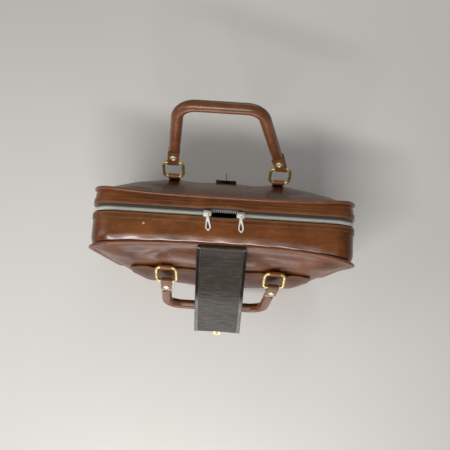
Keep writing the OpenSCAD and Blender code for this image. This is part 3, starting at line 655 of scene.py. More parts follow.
# Brass of the lock, painted dark brown as shade, since it sits low on the back panel in its shadow
lock_brass_painted_shade = polished_metal("lock_brass_painted_shade", "#5f4a28", "#2f2412", 0.45)
# Nickel-plated zip parts
nickel_metal = polished_metal("nickel_plate", "#fffcf2", "#efeade", 0.5)
# Twill tape of the zip: dark cotton
zip_twill = woven("zip_twill", "#2a241f", "#5a4f45", 0.9 * MM)
# Cotton drill lining inside the case
drill_lining = woven("cotton_drill", "#6d5a45", "#9a866b", 1.2 * MM, use_map=False)
# Waxed linen thread
waxed_thread = woven("waxed_thread", "#6a4a2c", "#b08a5c", 0.5 * MM, use_map=False, rough=0.6)
# Fibre board covered with kraft paper
fibre_board = woven("fibre_board", "#6b563c", "#927a58", 2.0 * MM, use_map=False)


# Case body

def paint_wear(obj, amount):
    """Stores how rubbed each point is, from amount(point)."""
    layer = obj.data.attributes.new("wear", "FLOAT", "POINT")
    for vertex, item in zip(obj.data.vertices, layer.data):
        item.value = amount(vertex.co)


def lined(obj, hide, thick, **settings):
    """Gives a sheet of hide its thickness and a lining."""
    obj.data.materials.append(hide)
    obj.data.materials.append(drill_lining)
    modify(obj, "SOLIDIFY", thickness=thick, offset=-1, material_offset=1, **settings)


def on_outline(d, y, inset):
    x, z, nx, nz = outline(d)
    return Vector((x - nx * inset, y, z - nz * inset))


def panel(side):
    """A bulged panel, whose rim reaches a little way into the piping."""

    def place(u, v):
        x, z, share = rounded_place(1 - u if side > 0 else u, v)
        x, z = x * PANEL_REACH, MID_Z + z * PANEL_REACH
        return Vector((x, panel_y(side, min(1.0, share * PANEL_REACH), x, z, LEATHER_T / 2), z))

    name = WORD[side] + "_panel"
    obj = sheet(150, 110, place)
    lined(obj, shaded_panel_hide, LEATHER_T)
    paint_wear(obj, lambda p: 0.25 * smooth((abs(p.y) - 60 * MM) / (25 * MM)))
    finish_piece(obj, name + "_hide", HALF[side], None, name)


def parted(x, nz):
    """How far each edge of the zip stands from its middle between the sliders."""
    return PARTING * max(0.0, 1 - (x / PARTING_END) ** 4) if nz > 0.99 else 0.0


def zip_edge(side, x, nz):
    return ZIP_Y + side * (REVEAL[side] + FACING_BOW[side] * parted(x, nz))


def gusset(side):
    """The band between a seam and the zip. It slopes down into the seam, sags and puckers."""
    reach, steep = GUSSET_SLOPE[side]

    def place(u, v):
        d = (u if side > 0 else 1 - u) * PERIMETER
        x, z, _, nz = outline(d)
        a, b = seam_y(side, x, z), zip_edge(side, x, nz)
        run = v * abs(b - a)
        slope = (reach - run + sqrt((reach - run) ** 2 + (3 * MM) ** 2)) / 2
        tuck = steep * slope + 1.2 * MM * (1 - smooth(run / (2.5 * MM)))
        on_sole = smooth(-nz * 4)
        tuck = mix(tuck, (PIPING_R - SKIN_IN) * (1 - smooth(v / 0.12)), on_sole)
        sag = 0.7 * MM * sin(pi * v) * (0.5 + wander(x, side, z, 60 * MM))
        pucker = 0.35 * MM * (1 - smooth(v / 0.3)) * sin(d / (7 * MM))
        return on_outline(d, mix(a, b, v), SKIN_IN + tuck + (sag + pucker) * (1 - on_sole))

    name = WORD[side] + "_gusset"
    obj = sheet(420, 16, place)
    tidy_mesh(obj, MERGE, turn=False)
    lined(obj, gusset_hide, LEATHER_T)
    paint_wear(obj, lambda p: 0.2 * bump(p.z - CASE_H, 4 * MM))
    finish_piece(obj, name + "_hide", HALF[side], None, name)


def piping(side):
    def place(u, v):
        d, a = u * PERIMETER, 2 * pi * v
        x, z, _, nz = outline(d)
        r = PIPING_R * (1 + 0.03 * sin(d / (5 * MM)) + 0.03 * wander(x, side, z, 12 * MM)) - 0.15 * MM
        # Along the top it lies lower than the hide beside it
        sink = PIPING_SINK[side] * smooth((nz - 0.9) * 10) * (1 - smooth((abs(x) - 110 * MM) / (50 * MM)))
        return on_outline(d, seam_y(side, x, z) + r * cos(a), PIPING_R + sink + r * sin(a))

    name = WORD[side] + "_piping"
    obj = tube(620, 16, place, fill=False)
    paint_wear(obj, lambda p: 0.35)
    finish_piece(obj, name + "_cord", HALF[side], piping_hide, name)


def along_zip(u):
    """Distance on the outline from the zip's right end over the top to its left end."""
    return mix(ZIP_START, PERIMETER - ZIP_START, u)


def soft_bar(v, width, thick, power=5):
    """A point round a bar with rounded edges, as its offset across and up."""
    c, s = cos(2 * pi * v), sin(2 * pi * v)
    return (copysign(abs(c) ** (2 / power), c) * width / 2, copysign(abs(s) ** (2 / power), s) * thick / 2)


def zip_strip(side, node, ending, near, far, top, low, material, follow):
    """A strip along the zip between two distances from its middle and two insets. follow(t) gives how much
    of the parting it takes, and how far it hangs, from its near to its far edge."""

    def place(u, v):
        d = along_zip(u)
        x, z, _, nz = outline(d)
        across, up = soft_bar(v, far - near, low - top)
        wave = 0.25 * MM * wander(x, side * 0.3, z, 18 * MM)
        share, drop = follow((across + (far - near) / 2) / (far - near))
        y = ZIP_Y + side * ((near + far) / 2 + across + share * parted(x, nz) + wave)
        return on_outline(d, y, (top + low) / 2 - up + drop * parted(x, nz))

    obj = tube(420, 20, place)
    # The UV map is stretched so that it is in metres
    for loop in obj.data.uv_layers.active.data:
        loop.uv = (loop.uv[0] * PERIMETER, loop.uv[1] * 2 * (far - near))
    finish_piece(obj, node + ending, HALF[side], material, node)
    return obj


def facing(side):
    obj = zip_strip(side, WORD[side] + "_facing", "_fold", REVEAL[side] - 0.4 * MM, REVEAL[side] + FACING_W,
                    SKIN_IN - FACING_T + 0.4 * MM, SKIN_IN + 0.4 * MM, facing_hide, lambda t: (FACING_BOW[side], 0.0))
    paint_wear(obj, lambda p: 0.5 * bump(p.y - zip_edge(side, p.x, float(p.z > CASE_H - 3 * MM)), 1.0 * MM))


def tape(side):
    zip_strip(side, WORD[side] + "_tape", "_twill", CHAIN_HALF - 0.6 * MM, TAPE_W, SKIN_OUT + 0.02 * MM,
              SKIN_OUT + TAPE_T, zip_twill, lambda t: (mix(1.0, FACING_BOW[side], t), 0.9 * (1 - smooth(t / 0.45))))


def scattered(name, model, places, body, material, *nodes):
    """One piece made of copies of a small model, each moved by a matrix. The model goes."""
    points, faces = [], []
    for matrix in places:
        start = len(points)
        points += [matrix @ v.co for v in model.data.vertices]
        faces += [[start + i for i in p.vertices] for p in model.data.polygons]
    mesh = bpy.data.meshes.new(name)
    mesh.from_pydata(points, [], faces)
    obj = bpy.data.objects.new(name, mesh)
    bpy.context.scene.collection.objects.link(obj)
    bpy.data.objects.remove(model)
    finish_piece(obj, name, body, material, *nodes)


def frame_at(point, along, up):
    """A matrix with X along a direction and Z close to up."""
    x = along.normalized()
    y = up.cross(x).normalized()
    return axes(x, y, x.cross(y), point)


def stitch_model():
    """One stitch of waxed thread, sunk at both ends."""
    bpy.ops.mesh.primitive_cylinder_add(vertices=6, radius=0.45 * MM, depth=STITCH_L, rotation=(0, pi / 2, 0))
    obj = bpy.context.object
    apply_place()
    open_mesh(obj)
    for x in (-STITCH_L / 4, STITCH_L / 4):
        bpy.ops.mesh.select_all(action="SELECT")
        bpy.ops.mesh.bisect(plane_co=(x, 0, 0), plane_no=(1, 0, 0))
    close_mesh()
    for vertex in obj.data.vertices:
        reach = abs(vertex.co.x) / (STITCH_L / 2)
        vertex.co.y *= 1 - STITCH_SINK * reach
        vertex.co.z = vertex.co.z * (1 - STITCH_SINK * reach) - 0.5 * MM * reach ** 2 + 0.1 * MM
    return obj


def stitch_row(name, path, body, pitch=STITCH_PITCH):
    """Stitches along path(t), t from 0 to 1, which gives a point and the outward direction."""
    samples = [path(i / PATH_SAMPLES) for i in range(PATH_SAMPLES + 1)]
    places, run, wanted = [], 0.0, pitch / 2
    for (p, n), (q, m) in zip(samples, samples[1:]):
        step = (q - p).length
        while run + step >= wanted and step > 0:
            t = (wanted - run) / step
            places.append(frame_at(p.lerp(q, t), q - p, n.lerp(m, t)))
            wanted += pitch
        run += step
    scattered(name, stitch_model(), places, body, waxed_thread)


def facing_stitches(side):
    for number, across in enumerate((1.8 * MM, FACING_W - 1.4 * MM)):
        def path(t):
            d = along_zip(0.003 + 0.994 * t)
            x, _, nx, nz = outline(d)
            y = zip_edge(side, x, nz) + side * across
            return on_outline(d, y, SKIN_IN - FACING_T + 0.4 * MM), Vector((nx, 0, nz))

        stitch_row(f"{HALF[side]}_zip_stitches_{number}", path, HALF[side])


# Front pocket

def pocket_place(u, v, reach=1.0):
    """A point of the pocket's outer face, over the front panel."""
    x, z, share = rounded_place(u, v)
    r = (CORNER_R - PANEL_INSET) * share
    corner_x, corner_z = PANEL_HALF_W * share - r, PANEL_HALF_H * share - r
    # 1 along the pocket's top, where it stands open, and 0 along its sides and bottom
    opening = 0.0
    if share > 1e-6 and z > corner_z:
        opening = sin(atan2(z - corner_z, max(0.0, abs(x) - corner_x))) ** 2
    x *= POCKET_HALF_W / PANEL_HALF_W * reach
    z = POCKET_Z + z * POCKET_HALF_H / PANEL_HALF_H * reach
    # The mouth lies nearly flat, and gapes just outside the rings
    gape = 1.4 * MM + 4.4 * MM * bump(abs(x) - SIDE_X - 13 * MM, 13 * MM)
    gap = mix(POCKET_GAP, gape * opening, smooth((share - 0.8) / 0.19))
    # The lip dips where the rings press on it
    lip = smooth((share - 0.9) / 0.1) * (v > 0.5)
    z -= 1.4 * MM * lip * bump(abs(x) - SIDE_X, 14 * MM)
    return Vector((x, panel_y(-1, share_at(x, z), x, z, LEATHER_T / 2 + POCKET_TOUCH + gap + POCKET_T), z))


def front_pocket():
    obj = sheet(120, 90, pocket_place)
    lined(obj, shaded_pocket_hide, POCKET_T, material_offset_rim=0)
    paint_wear(obj, lambda p: 0.8 * bump(p.z - POCKET_HIGH.z, 1.6 * MM))
    finish_piece(obj, "front_pocket_hide", "front_half", None, "front_pocket")

    def edge(t):
        # From the left end of the mouth down, under and up to its right end
        cx, cz = turn_by(mix(130, 410, t))
        m = max(abs(cx), abs(cz))
        return pocket_place(0.5 + 0.5 * cx / m, 0.5 + 0.5 * cz / m, 0.972), Vector((0, -1, 0))

    stitch_row("pocket_stitches", edge, "front_half")


# Rings and the loops that hold them

def ring(side, mirror):
    """A square ring of brass wire with round corners."""
    name = f"{WORD[side]}_ring_{HAND[mirror]}"
    # The middles of its lower wire, in the loop, and of its upper one, in the tab
    bar, top = pivot(WORD[side] + "_ring_left"), pivot(WORD[side] + "_handle")
    span, out = (top - bar).length, (top - bar).normalized()
    line = rounded_path(rectangle(-span / 2, 0, span / 2, span), RING_CORNER_R, 10)
    obj = wire(line, True, RING_WIRE_R - 0.03 * MM, 20, 140)
    across = Vector((-out[1], out[0]))
    remap(obj, lambda p: (p.x + mirror * SIDE_X, *(bar + out * p.y + across * p.z)))
    tidy_mesh(obj)
    finish_piece(obj, name + "_wire", name, brass_metal, name)


def loop_path(side, x):
    """Middle of the loop's leather in Y and Z: up off the panel, round the wire and down again."""
    bar = pivot(WORD[side] + "_ring_left")
    low_z, foot_z = bar[1] - LOOP_LOW[side], bar[1] - LOOP_FOOT[side]

    def on_panel(z, off):
        return Vector((face_y(side, x, z) + side * off, z))

    under = [on_panel(mix(low_z, foot_z, i / 6), 0.9 * MM) for i in range(7)]
    over = [on_panel(mix(foot_z, low_z, i / 6), 2.2 * MM) for i in range(7)]
    toward = (bar - under[-1]).normalized()
    across = Vector((-toward[1], toward[0])) * -side
    turns = [turn_by(200 - 220 * i / 10) for i in range(11)]
    return under + [bar + (across * c + toward * s) * (RING_WIRE_R + 0.7 * MM) for c, s in turns] + over


def strip_piece(path_at, width, thick, columns):
    """A flat strip of leather: path_at(x) gives its middle line in Y and Z for a place across it."""
    lines = {}

    def at(u, x):
        key = round(x, 4)
        if key not in lines:
            points = path_at(key)
            lines[key] = (points, run_lengths(points))
        points, runs = lines[key]
        i, t, p = spot_on(points, runs, u)
        before, after = points[max(0, i - (t < 0.5))], points[min(len(points) - 1, i + 1 + (t >= 0.5))]
        tangent = (after - before).normalized()
        return p, Vector((-tangent[1], tangent[0]))

    def place(u, v):
        across, up = soft_bar(v, width, thick, 7)
        p, n = at(u, across)
        return Vector((across, p[0] + n[0] * up, p[1] + n[1] * up))

    return tube(columns, 24, place), at


def ring_loop(side, mirror):
    name = f"{WORD[side]}_loop_{HAND[mirror]}"
    x0 = mirror * SIDE_X
    obj, at = strip_piece(lambda across: loop_path(side, x0 + across), TAB_W, 1.2 * MM, 70)
    shift(obj, x=x0)
    paint_wear(obj, lambda p: 0.3)
    finish_piece(obj, name + "_strap", HALF[side], case_hide, name)

    for number, edge in enumerate((-1, 1)):
        def path(t):
            x = edge * (TAB_W / 2 - 2 * MM)
            p, n = at(0.73 + 0.25 * t, x)
            out = Vector((0, n[0], n[1]))
            if out.y * side < 0:
                out = -out
            return Vector((x0 + x, p[0], p[1])) + out * 0.6 * MM, out

        stitch_row(f"{name}_stitches_{number}", path, HALF[side])


# Handles, in a frame with Z away from the rings

def handle_frame(side):
    """The matrix of a handle's own frame: its origin lies between its rings' outer wires."""
    y, z = pivot(WORD[side] + "_handle")
    return Matrix.Translation((0, y, z)) @ Matrix.Rotation(-radians(HANDLE_LEAN[side]), 4, "X")


def leg_slope(side, mirror):
    return tan(radians(LEG_LEAN[side][mirror > 0]))


def half_grip(side, mirror):
    """One half of a grip's U: its lean, the middle of its bend, its foot, and the lengths of leg, bend and top."""
    slope = leg_slope(side, mirror)
    lean = atan(slope)
    middle = Vector((SIDE_X + (HANDLE_RISE - GRIP_BEND) * slope - GRIP_BEND / cos(lean), HANDLE_RISE - GRIP_BEND))
    foot = Vector((SIDE_X + LEG_START * slope, LEG_START))
    leg = (middle + GRIP_BEND * Vector((cos(lean), -sin(lean))) - foot).length
    return lean, middle, foot, leg, GRIP_BEND * (pi / 2 + lean), middle.x


def grip_line(side, u):
    """The grip's middle line as a U with leaning legs: X and Z at a share of its length, the direction along
    it, and the distance from the nearer foot."""
    right, other = half_grip(side, 1), half_grip(side, -1)
    d = u * (sum(right[3:]) + sum(other[3:]))
    left = d > sum(right[3:])
    if left:
        d = sum(right[3:]) + sum(other[3:]) - d
    lean, middle, foot, leg, arc, _ = other if left else right
    if d < leg:
        along = Vector((sin(lean), cos(lean)))
        point = foot + along * d
    elif d < leg + arc:
        a = (d - leg) / GRIP_BEND - lean
        point, along = middle + GRIP_BEND * Vector((cos(a), sin(a))), Vector((-sin(a), cos(a)))
    else:
        point, along = Vector((middle.x - (d - leg - arc), HANDLE_RISE)), Vector((-1, 0))
    if left:
        return -point.x, point.y, along.x, -along.y, d
    return point.x, point.y, along.x, along.y, d


def grip(side):
    to_case = handle_frame(side)

    def place(u, v):
        x, z, tx, tz, d = grip_line(side, u)
        # The tongue in the tab is flat, and swells into the round roll above it
        roll = smooth((d - (TAB_L - LEG_START) - 1 * MM) / (9 * MM))
        a = 2 * pi * v
        flat_a, flat_b = soft_bar(v, TAB_W - 2.4 * MM, LEG_T, 6)
        wrinkle = 1 + 0.012 * sin(d / (3.2 * MM)) * (0.4 + wander(x, z, side, 20 * MM))
        r = (GRIP_R - 0.3 * MM) * wrinkle + 0.7 * MM * bump(v % 1 - 0.5, 0.03)
        out, depth = mix(flat_a, r * cos(a), roll), mix(flat_b, r * sin(a), roll)
        return to_case @ Vector((x + tz * out, depth, z - tx * out))

    obj = tube(300, 32, place)
    paint_wear(obj, lambda p: 0.25)
    finish_piece(obj, WORD[side] + "_rolled_grip", WORD[side] + "_handle", grip_hide, WORD[side] + "_grip")


def tab_path(_):
    """Middle of the tab's leather in the handle's frame: down one face, round the wire, up the other."""
    up = [Vector((LEG_T / 2 + 1 * MM, mix(TAB_L, 4 * MM, i / 5))) for i in range(6)]
    turn = [Vector(turn_by(-180 * i / 14)) * (RING_WIRE_R + 1.15 * MM) for i in range(15)]
    return up + turn + [Vector((-p[0], p[1])) for p in reversed(up)]


def tab_leaned(side, mirror, p):
    """A tab's point turned with its leg: the end swings, and the wire's hole stays straight."""
    slope = mirror * leg_slope(side, mirror)
    return Vector((mirror * SIDE_X + p.x + slope * p.z, p.y, p.z - slope * p.x * smooth(p.z / TAB_L)))


def near_end(z):
    """From 0 to 1 over the last part of a tab."""
    return smooth((z - TAB_L + 5 * MM) / (5 * MM))


def tab(side, mirror):
    name = f"{WORD[side]}_tab_{HAND[mirror]}"
    body = WORD[side] + "_handle"
    to_case = handle_frame(side)
    obj, _ = strip_piece(tab_path, TAB_W, TAB_T, 90)
    paint_wear(obj, lambda p: 0.3)
    obj.data.materials.append(grip_hide)
    # The front tabs' ends are left raw and fray a little way up; the back ones are dyed
    obj.data.materials.append(cut_hide if side < 0 else piping_hide)
    for face in obj.data.polygons:
        if face.center.z > TAB_L - (3.2 if side < 0 else 0.9) * MM:
            face.material_index = 1
    for vertex in obj.data.vertices:
        # The end stands off the leg a little
        p = vertex.co
        off = 1.6 * MM if side < 0 < p.y else 0.7 * MM
        p.y += copysign(off, p.y) * near_end(p.z)
        vertex.co = to_case @ tab_leaned(side, mirror, p)
    finish_piece(obj, name + "_hide", body, None, name)

    edge, end = TAB_W / 2 - 2.2 * MM, TAB_L - 3 * MM
    rise, cross = TAB_L - 6 * MM, 2 * edge
    for number, face in enumerate((-1, 1)):
        def path(t):
            # Up one edge, across the end and down the other
            d = t * (2 * rise + cross)
            if d < rise:
                x, z = -edge, 3 * MM + d
            elif d < rise + cross:
                x, z = d - rise - edge, end
            else:
                x, z = edge, end - (d - rise - cross)
            p = Vector((x, face * (LEG_T / 2 + TAB_T + 0.1 * MM * near_end(z)), z))
            return to_case @ tab_leaned(side, mirror, p), to_case.to_3x3() @ Vector((0, face, 0))

        stitch_row(f"{name}_stitches_{number}", path, body)


def rivets(side):
    """Rivet heads with a raised rim, a sunk middle and a slot across it, on both faces of both tabs."""
    model = round_head(RIVET_R, 40, RIVET_STEPS)
    cut_out(model, rounded_box((-2.1 * MM, -0.6 * MM, 0.05 * MM), (2.1 * MM, 0.6 * MM, 2 * MM), 0.02 * MM, 1))
    places = []
    for mirror in (-1, 1):
        for face in (-1, 1):
            x = mirror * (SIDE_X + leg_slope(side, mirror) * RIVET_Z)
            local = Matrix.Translation((x, face * (LEG_T / 2 + TAB_T), RIVET_Z))
            turn = Matrix.Rotation(radians(-90 * face), 4, "X") @ Matrix.Rotation(0.9 + 0.4 * mirror, 4, "Z")
            places.append(handle_frame(side) @ local @ turn)
    scattered(WORD[side] + "_slotted_rivets", model, places, WORD[side] + "_handle", rivet_metal,
              WORD[side] + "_rivets")


# Bottom and hinge

def sole(side):
    """Thick leather sole, with rounded edges and a scuffed underside."""
    name = WORD[side] + "_sole"
    low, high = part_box(name)

    def place(u, v):
        x, y = mix(low.x, high.x, u), mix(low.y, high.y, v)
        edge = min(x - low.x, high.x - x, y - low.y, high.y - y)
        rise = max(0.0, 1.2 * MM - edge) ** 2 / (2.4 * MM)
        return Vector((x, y, rise + 0.08 * MM * max(0.0, wander(x, y, 0, 9 * MM))))

    obj = sheet(150, 14, place, flip=True)
    modify(obj, "SOLIDIFY", thickness=high.z - 0.6 * MM, offset=-1)
    paint_wear(obj, lambda p: 0.6 * bump(min(high.x - abs(p.x), p.y - low.y, high.y - p.y), 5 * MM))
    finish_piece(obj, name + "_leather", HALF[side], sole_hide, name)

    def seam(t):
        inset = 3.5 * MM
        corners = rectangle(low.x + inset, low.y + inset, high.x - inset, high.y - inset)
        k = min(3, int(t * 4))
        p = Vector(corners[k]).lerp(Vector(corners[(k + 1) % 4]), t * 4 - k)
        return Vector((p.x, p.y, 0.45 * MM)), Vector((0, 0, -1))

    stitch_row(name + "_stitches", seam, HALF[side])


def base_board():
    """Fibre board that stiffens the bottom, with worn corners."""
    low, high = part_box("base_board")
    line = rounded_path(rectangle(low.x, low.y, high.x, high.y), 6 * MM)
    obj = cut_plate(line, high.z - low.z, 0.4 * MM)
    shift(obj, z=low.z)
    finish_piece(obj, "base_board_sheet", "front_half", fibre_board, "base_board")


def hinge_strip():
    """Leather that closes the case below the zip, with a slight ridge along its middle."""

    def place(u, v):
        d = mix(-ZIP_START, ZIP_START, u)
        nz = outline(d)[3]
        y = mix(ZIP_Y - REVEAL[-1] - 1.5 * MM, ZIP_Y + REVEAL[1] + 1.5 * MM, v)
        lift = 0.5 * MM * bump(y - ZIP_Y - 1 * MM, 2 * MM) * (1 - smooth(-nz * 4))
        return on_outline(d, y, SKIN_IN + 0.35 * MM + lift)

    obj = sheet(220, 16, place, flip=True)
    modify(obj, "SOLIDIFY", thickness=LEATHER_T - 0.6 * MM, offset=-1)
    paint_wear(obj, lambda p: 0.5 * bump(p.y - ZIP_Y, 3 * MM))
    between = ("front_half", "back_half", (0, ZIP_Y - 4 * MM, 0), (0, ZIP_Y + 4 * MM, 0))
    finish_piece(obj, "hinge_leather", between, facing_hide, "hinge_strip")


def brass_stud():
    low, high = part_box("brass_stud")
    x, y, _ = (low + high) / 2
    obj = round_head((high.x - low.x) / 2, 28, STUD_STEPS, x, y, CASE_H - SKIN_IN - 0.2 * MM)
    finish_piece(obj, "brass_dome_stud", "front_half", brass_metal, "brass_stud")


# Zip

def tooth_model():
    """One tooth with bevelled shoulders, from its tip at -Y to the cord at +Y."""
    half = [(-0.75, 3.0), (-0.75, 0.4), (-0.55, -0.3), (-0.7, -1.0), (-0.4, -1.4)]
    obj = cut_plate(both_halves(half), TOOTH_T, 0.25 * MM, 1)
    shift(obj, z=-TOOTH_T / 2)
    return obj


def teeth(side):
    name = WORD[side] + "_teeth"
    first, last = along_zip(0) + TOOTH_START, along_zip(1) - TOOTH_START
    count = int((last - first) / TOOTH_PITCH)
    places = []
    for k in range(count):
        # The two rows interlock
        d = first + (k + (0.75 if side > 0 else 0.25)) * (last - first) / count
        x, _, nx, nz = outline(d)
        p = on_outline(d, ZIP_Y + side * parted(x, nz), CHAIN_MID + 0.9 * parted(x, nz))
        out = Vector((nx, 0, nz))
        places.append(axes(Vector((0, side, 0)).cross(out), (0, side, 0), out, p))
    scattered(name + "_metal", tooth_model(), places, HALF[side], nickel_metal, name)


def zip_stops(side):
    """Small clamped blocks at the lower ends of a row of teeth."""
    name = WORD[side] + "_zip_stops"
    low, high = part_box(name)
    obj = joined([rounded_box((x, low.y, low.z), (x + STOP_L, high.y, high.z), 0.6 * MM, 3)
                  for x in (low.x, high.x - STOP_L)])
    finish_piece(obj, name + "_metal", HALF[side], nickel_metal, name)


def slider(mirror):
    """Two waisted plates with a nose between them and an arch on top."""
    name = "slider_" + HAND[mirror]
    half_l, half_w = 6 * MM, 4.8 * MM
    edge = [(-6, -3.8), (-5, -4.8), (-0.5, -4.8), (2.2, -4.1), (4.8, -3.8), (6, -2.2)]
    plates = []
    for z in (-2.95 * MM, -7.75 * MM):
        plates.append(cut_plate(in_mm(edge + [(x, -y) for x, y in reversed(edge)]), 1.5 * MM, 0.45 * MM, 3))
        shift(plates[-1], z=z)
    nose = rounded_box((4.4 * MM, -0.8 * MM, -6.25 * MM), (6 * MM, 0.8 * MM, -2.95 * MM))
    line = rounded_path(in_mm([(-3.4, -1.7), (-3.4, 2.2), (3.4, 2.2), (3.4, -1.7)]), 1.3 * MM, closed=False)
    arch = wire(line, False, 0.9 * MM, 12, 40)
    remap(arch, lambda p: (p.x, p.z, p.y))
    tidy_mesh(arch)
    flanges = [rounded_box((-half_l, y, -3.9 * MM), (-half_l + 2 * MM, y + 0.9 * MM, -1.8 * MM), 0.25 * MM)
               for y in (-half_w, half_w - 0.9 * MM)]
    obj = joined(plates + [nose, arch] + flanges)
    remap(obj, lambda p: (mirror * (PULL_X - p.x), p.y + ZIP_Y, p.z + CASE_H))
    tidy_mesh(obj)
    finish_piece(obj, name + "_cast", name, nickel_metal, name)


def kite(half, radius, thick):
    """A plate with a kite's outline, round the plane of the pull."""
    obj = cut_plate(rounded_path(both_halves(half), radius * MM, 4), thick, 0.01 * MM, 1)
    shift(obj, z=-thick / 2)
    return obj


def pull(mirror):
    """A long kite, open in its lower half and widest near its pointed end, hung from the slider's arch."""
    name = "pull_" + HAND[mirror]
    drop = kite([(1.7, -4.1), (2.5, -9.5), (4.2, -21.2), (4.1, -22.6), (0.7, -27.0)], 0.4, 1.6 * MM)
    cut_out(drop, kite([(0.35, -12.6), (1.3, -16.4), (2.2, -21.0), (2.0, -22.2), (0.35, -24.2)], 0.35, 3 * MM))
    modify(drop, "BEVEL", width=0.45 * MM, segments=3, limit_method="ANGLE", angle_limit=radians(50))
    neck = rounded_box((-1.1 * MM, -5 * MM, -0.75 * MM), (1.1 * MM, -1.6 * MM, 0.75 * MM))
    bpy.ops.mesh.primitive_torus_add(major_radius=1.64 * MM, minor_radius=0.62 * MM, major_segments=28,
                                     minor_segments=12, rotation=(0, pi / 2, 0))
    eye = bpy.context.object
    apply_place()
    remap(eye, lambda p: (1.7 * p.x, p.y, p.z))
    for plate in (drop, neck):
        plate.data.transform(Matrix.Rotation(radians(5 - mirror), 4, "Z"))
    obj = joined([drop, neck, eye])
    y, z = pivot(name)
    obj.data.transform(Matrix.Translation((mirror * PULL_X, y, z)) @ Matrix.Rotation(radians(5), 4, "X"))
    finish_piece(obj, name + "_drop", name, nickel_metal, name)


# Strap: Z along it, its lining at +Y and its leather at -Y in its own frame

STRAP_ROOT, STRAP_FOLD = pivot("strap_root"), pivot("strap_end")
STRAP_WAY = (STRAP_FOLD - STRAP_ROOT).normalized()
STRAP_HEM_L = 9 * MM
STRAP_SPAN = (STRAP_FOLD - STRAP_ROOT).length
STRAP_TIP = STRAP_FOLD + Vector(reversed(turn_by(STRAP_TURN))) * STRAP_END_L
STRAP_POINTS = [STRAP_ROOT + Vector((1.0 * MM, -8 * MM)), STRAP_ROOT + Vector((0.6 * MM, -1.5 * MM)),
                STRAP_ROOT + STRAP_WAY * 6 * MM, STRAP_ROOT.lerp(STRAP_FOLD, 0.5) + Vector((0, 0.8 * MM)),
                STRAP_FOLD, STRAP_FOLD.lerp(STRAP_TIP, 0.5), STRAP_TIP]
STRAP_RUNS = run_lengths(STRAP_POINTS)


def strap_line(u):
    """The strap's middle line in Y and Z from its sewn end, and the direction out of its lining."""
    i, t, _ = spot_on(STRAP_POINTS, STRAP_RUNS, u)
    p0, p1, p2, p3 = (STRAP_POINTS[min(len(STRAP_POINTS) - 1, max(0, k))] for k in range(i - 1, i + 3))
    square, cube = 2 * p0 - 5 * p1 + 4 * p2 - p3, 3 * p1 - p0 - 3 * p2 + p3
    slope = ((p2 - p0) + 2 * square * t + 3 * cube * t ** 2).normalized()
    return 0.5 * (2 * p1 + (p2 - p0) * t + square * t ** 2 + cube * t ** 3), Vector((slope[1], -slope[0]))


def strap_follow(part):
    """The two bodies that a part of the strap lies between, and where it bends."""
    if part == "root":
        bodies, a, b = ("front_half", "strap_root"), STRAP_ROOT - STRAP_WAY * 5 * MM, STRAP_ROOT + STRAP_WAY * 8 * MM
    else:
        way = Vector(reversed(turn_by(228)))
        bodies, a, b = ("strap_root", "strap_end"), STRAP_FOLD - way * 9 * MM, STRAP_FOLD + way * 9 * MM
    return *bodies, (0, a[0], a[1]), (0, b[0], b[1])


def strap_point(u, x, up):
    """A point of the strap at a share of its length, across it and above its middle."""
    p, n = strap_line(u)
    up += 0.5 * MM * wander(x, u * 0.17, 0, 40 * MM) * smooth((u - 0.1) / 0.15)
    up += 0.5 * MM * (x / STRAP_HALF) ** 2 * smooth((u - 0.15) / 0.2)
    return Vector((x, p[0] + n[0] * up, p[1] + n[1] * up))


def strap_slab(name, span, across, width, thick, part, materials, nodes):
    """A length of the strap, or of the binding on its edge."""

    def place(u, v):
        x, up = soft_bar(v, width, thick, 9)
        return strap_point(mix(span[0], span[1], u), across + x, up)

    obj = tube(70, 40, place)
    for material in materials:
        obj.data.materials.append(material)
    if len(materials) > 1:
        line = [strap_line(k / 40) for k in range(41)]
        for face in obj.data.polygons:
            n = min(line, key=lambda spot: (spot[0] - Vector(face.center.yz)).length)[1]
            face.material_index = 0 if face.normal.y * n[0] + face.normal.z * n[1] > 0.3 else 1
    finish_piece(obj, name, strap_follow(part), None, *nodes)


def strap():
    middle = (STRAP_HEM_L + 0.5 * STRAP_SPAN) / (STRAP_HEM_L + STRAP_SPAN + STRAP_END_L)
    for part, span in (("root", (0.0, middle)), ("end", (middle, 1.0))):
        strap_slab(f"strap_{part}_hide", span, 0.0, 2 * STRAP_HALF - 1.2 * MM, STRAP_T, part,
                   [lining_hide, case_hide], [f"strap_{part}", f"strap_{part}_lining"])
        start = max(span[0], 0.055)
        for number, edge in enumerate((-1, 1)):
            strap_slab(f"strap_{part}_edge_{number}", (start, span[1]), edge * (STRAP_HALF - BINDING_W / 2 + 0.4 * MM),
                       BINDING_W + 0.2 * MM, STRAP_T + 2 * BINDING_T, part, [edge_binding],
                       [f"strap_{part}_binding"])

            def path(t):
                u = mix(start + 0.004, span[1] - 0.002, t)
                n = strap_line(u)[1]
                x = edge * (STRAP_HALF - BINDING_W + 1.1 * MM)
                return strap_point(u, x, STRAP_T / 2 + BINDING_T), Vector((0, n[0], n[1]))

            stitch_row(f"strap_{part}_stitches_{number}", path, strap_follow(part), 4.0 * MM)


def strap_seam():
    """The sewn end of the strap, in front of the piping."""
    low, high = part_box("strap_seam")

    def place(u, v):
        a, b = soft_bar(v, high.z - low.z, high.y - low.y, 4)
        return Vector((mix(low.x, high.x, u), (low.y + high.y) / 2 + b, (low.z + high.z) / 2 + a))

    finish_piece(tube(60, 20, place), "strap_seam_hide", "front_half", case_hide, "strap_seam")

    def path(t):
        return Vector((mix(low.x + 2 * MM, high.x - 2 * MM, t), low.y, low.z + 2 * MM)), Vector((0, -1, 0))

    stitch_row("strap_seam_stitches", path, "front_half")


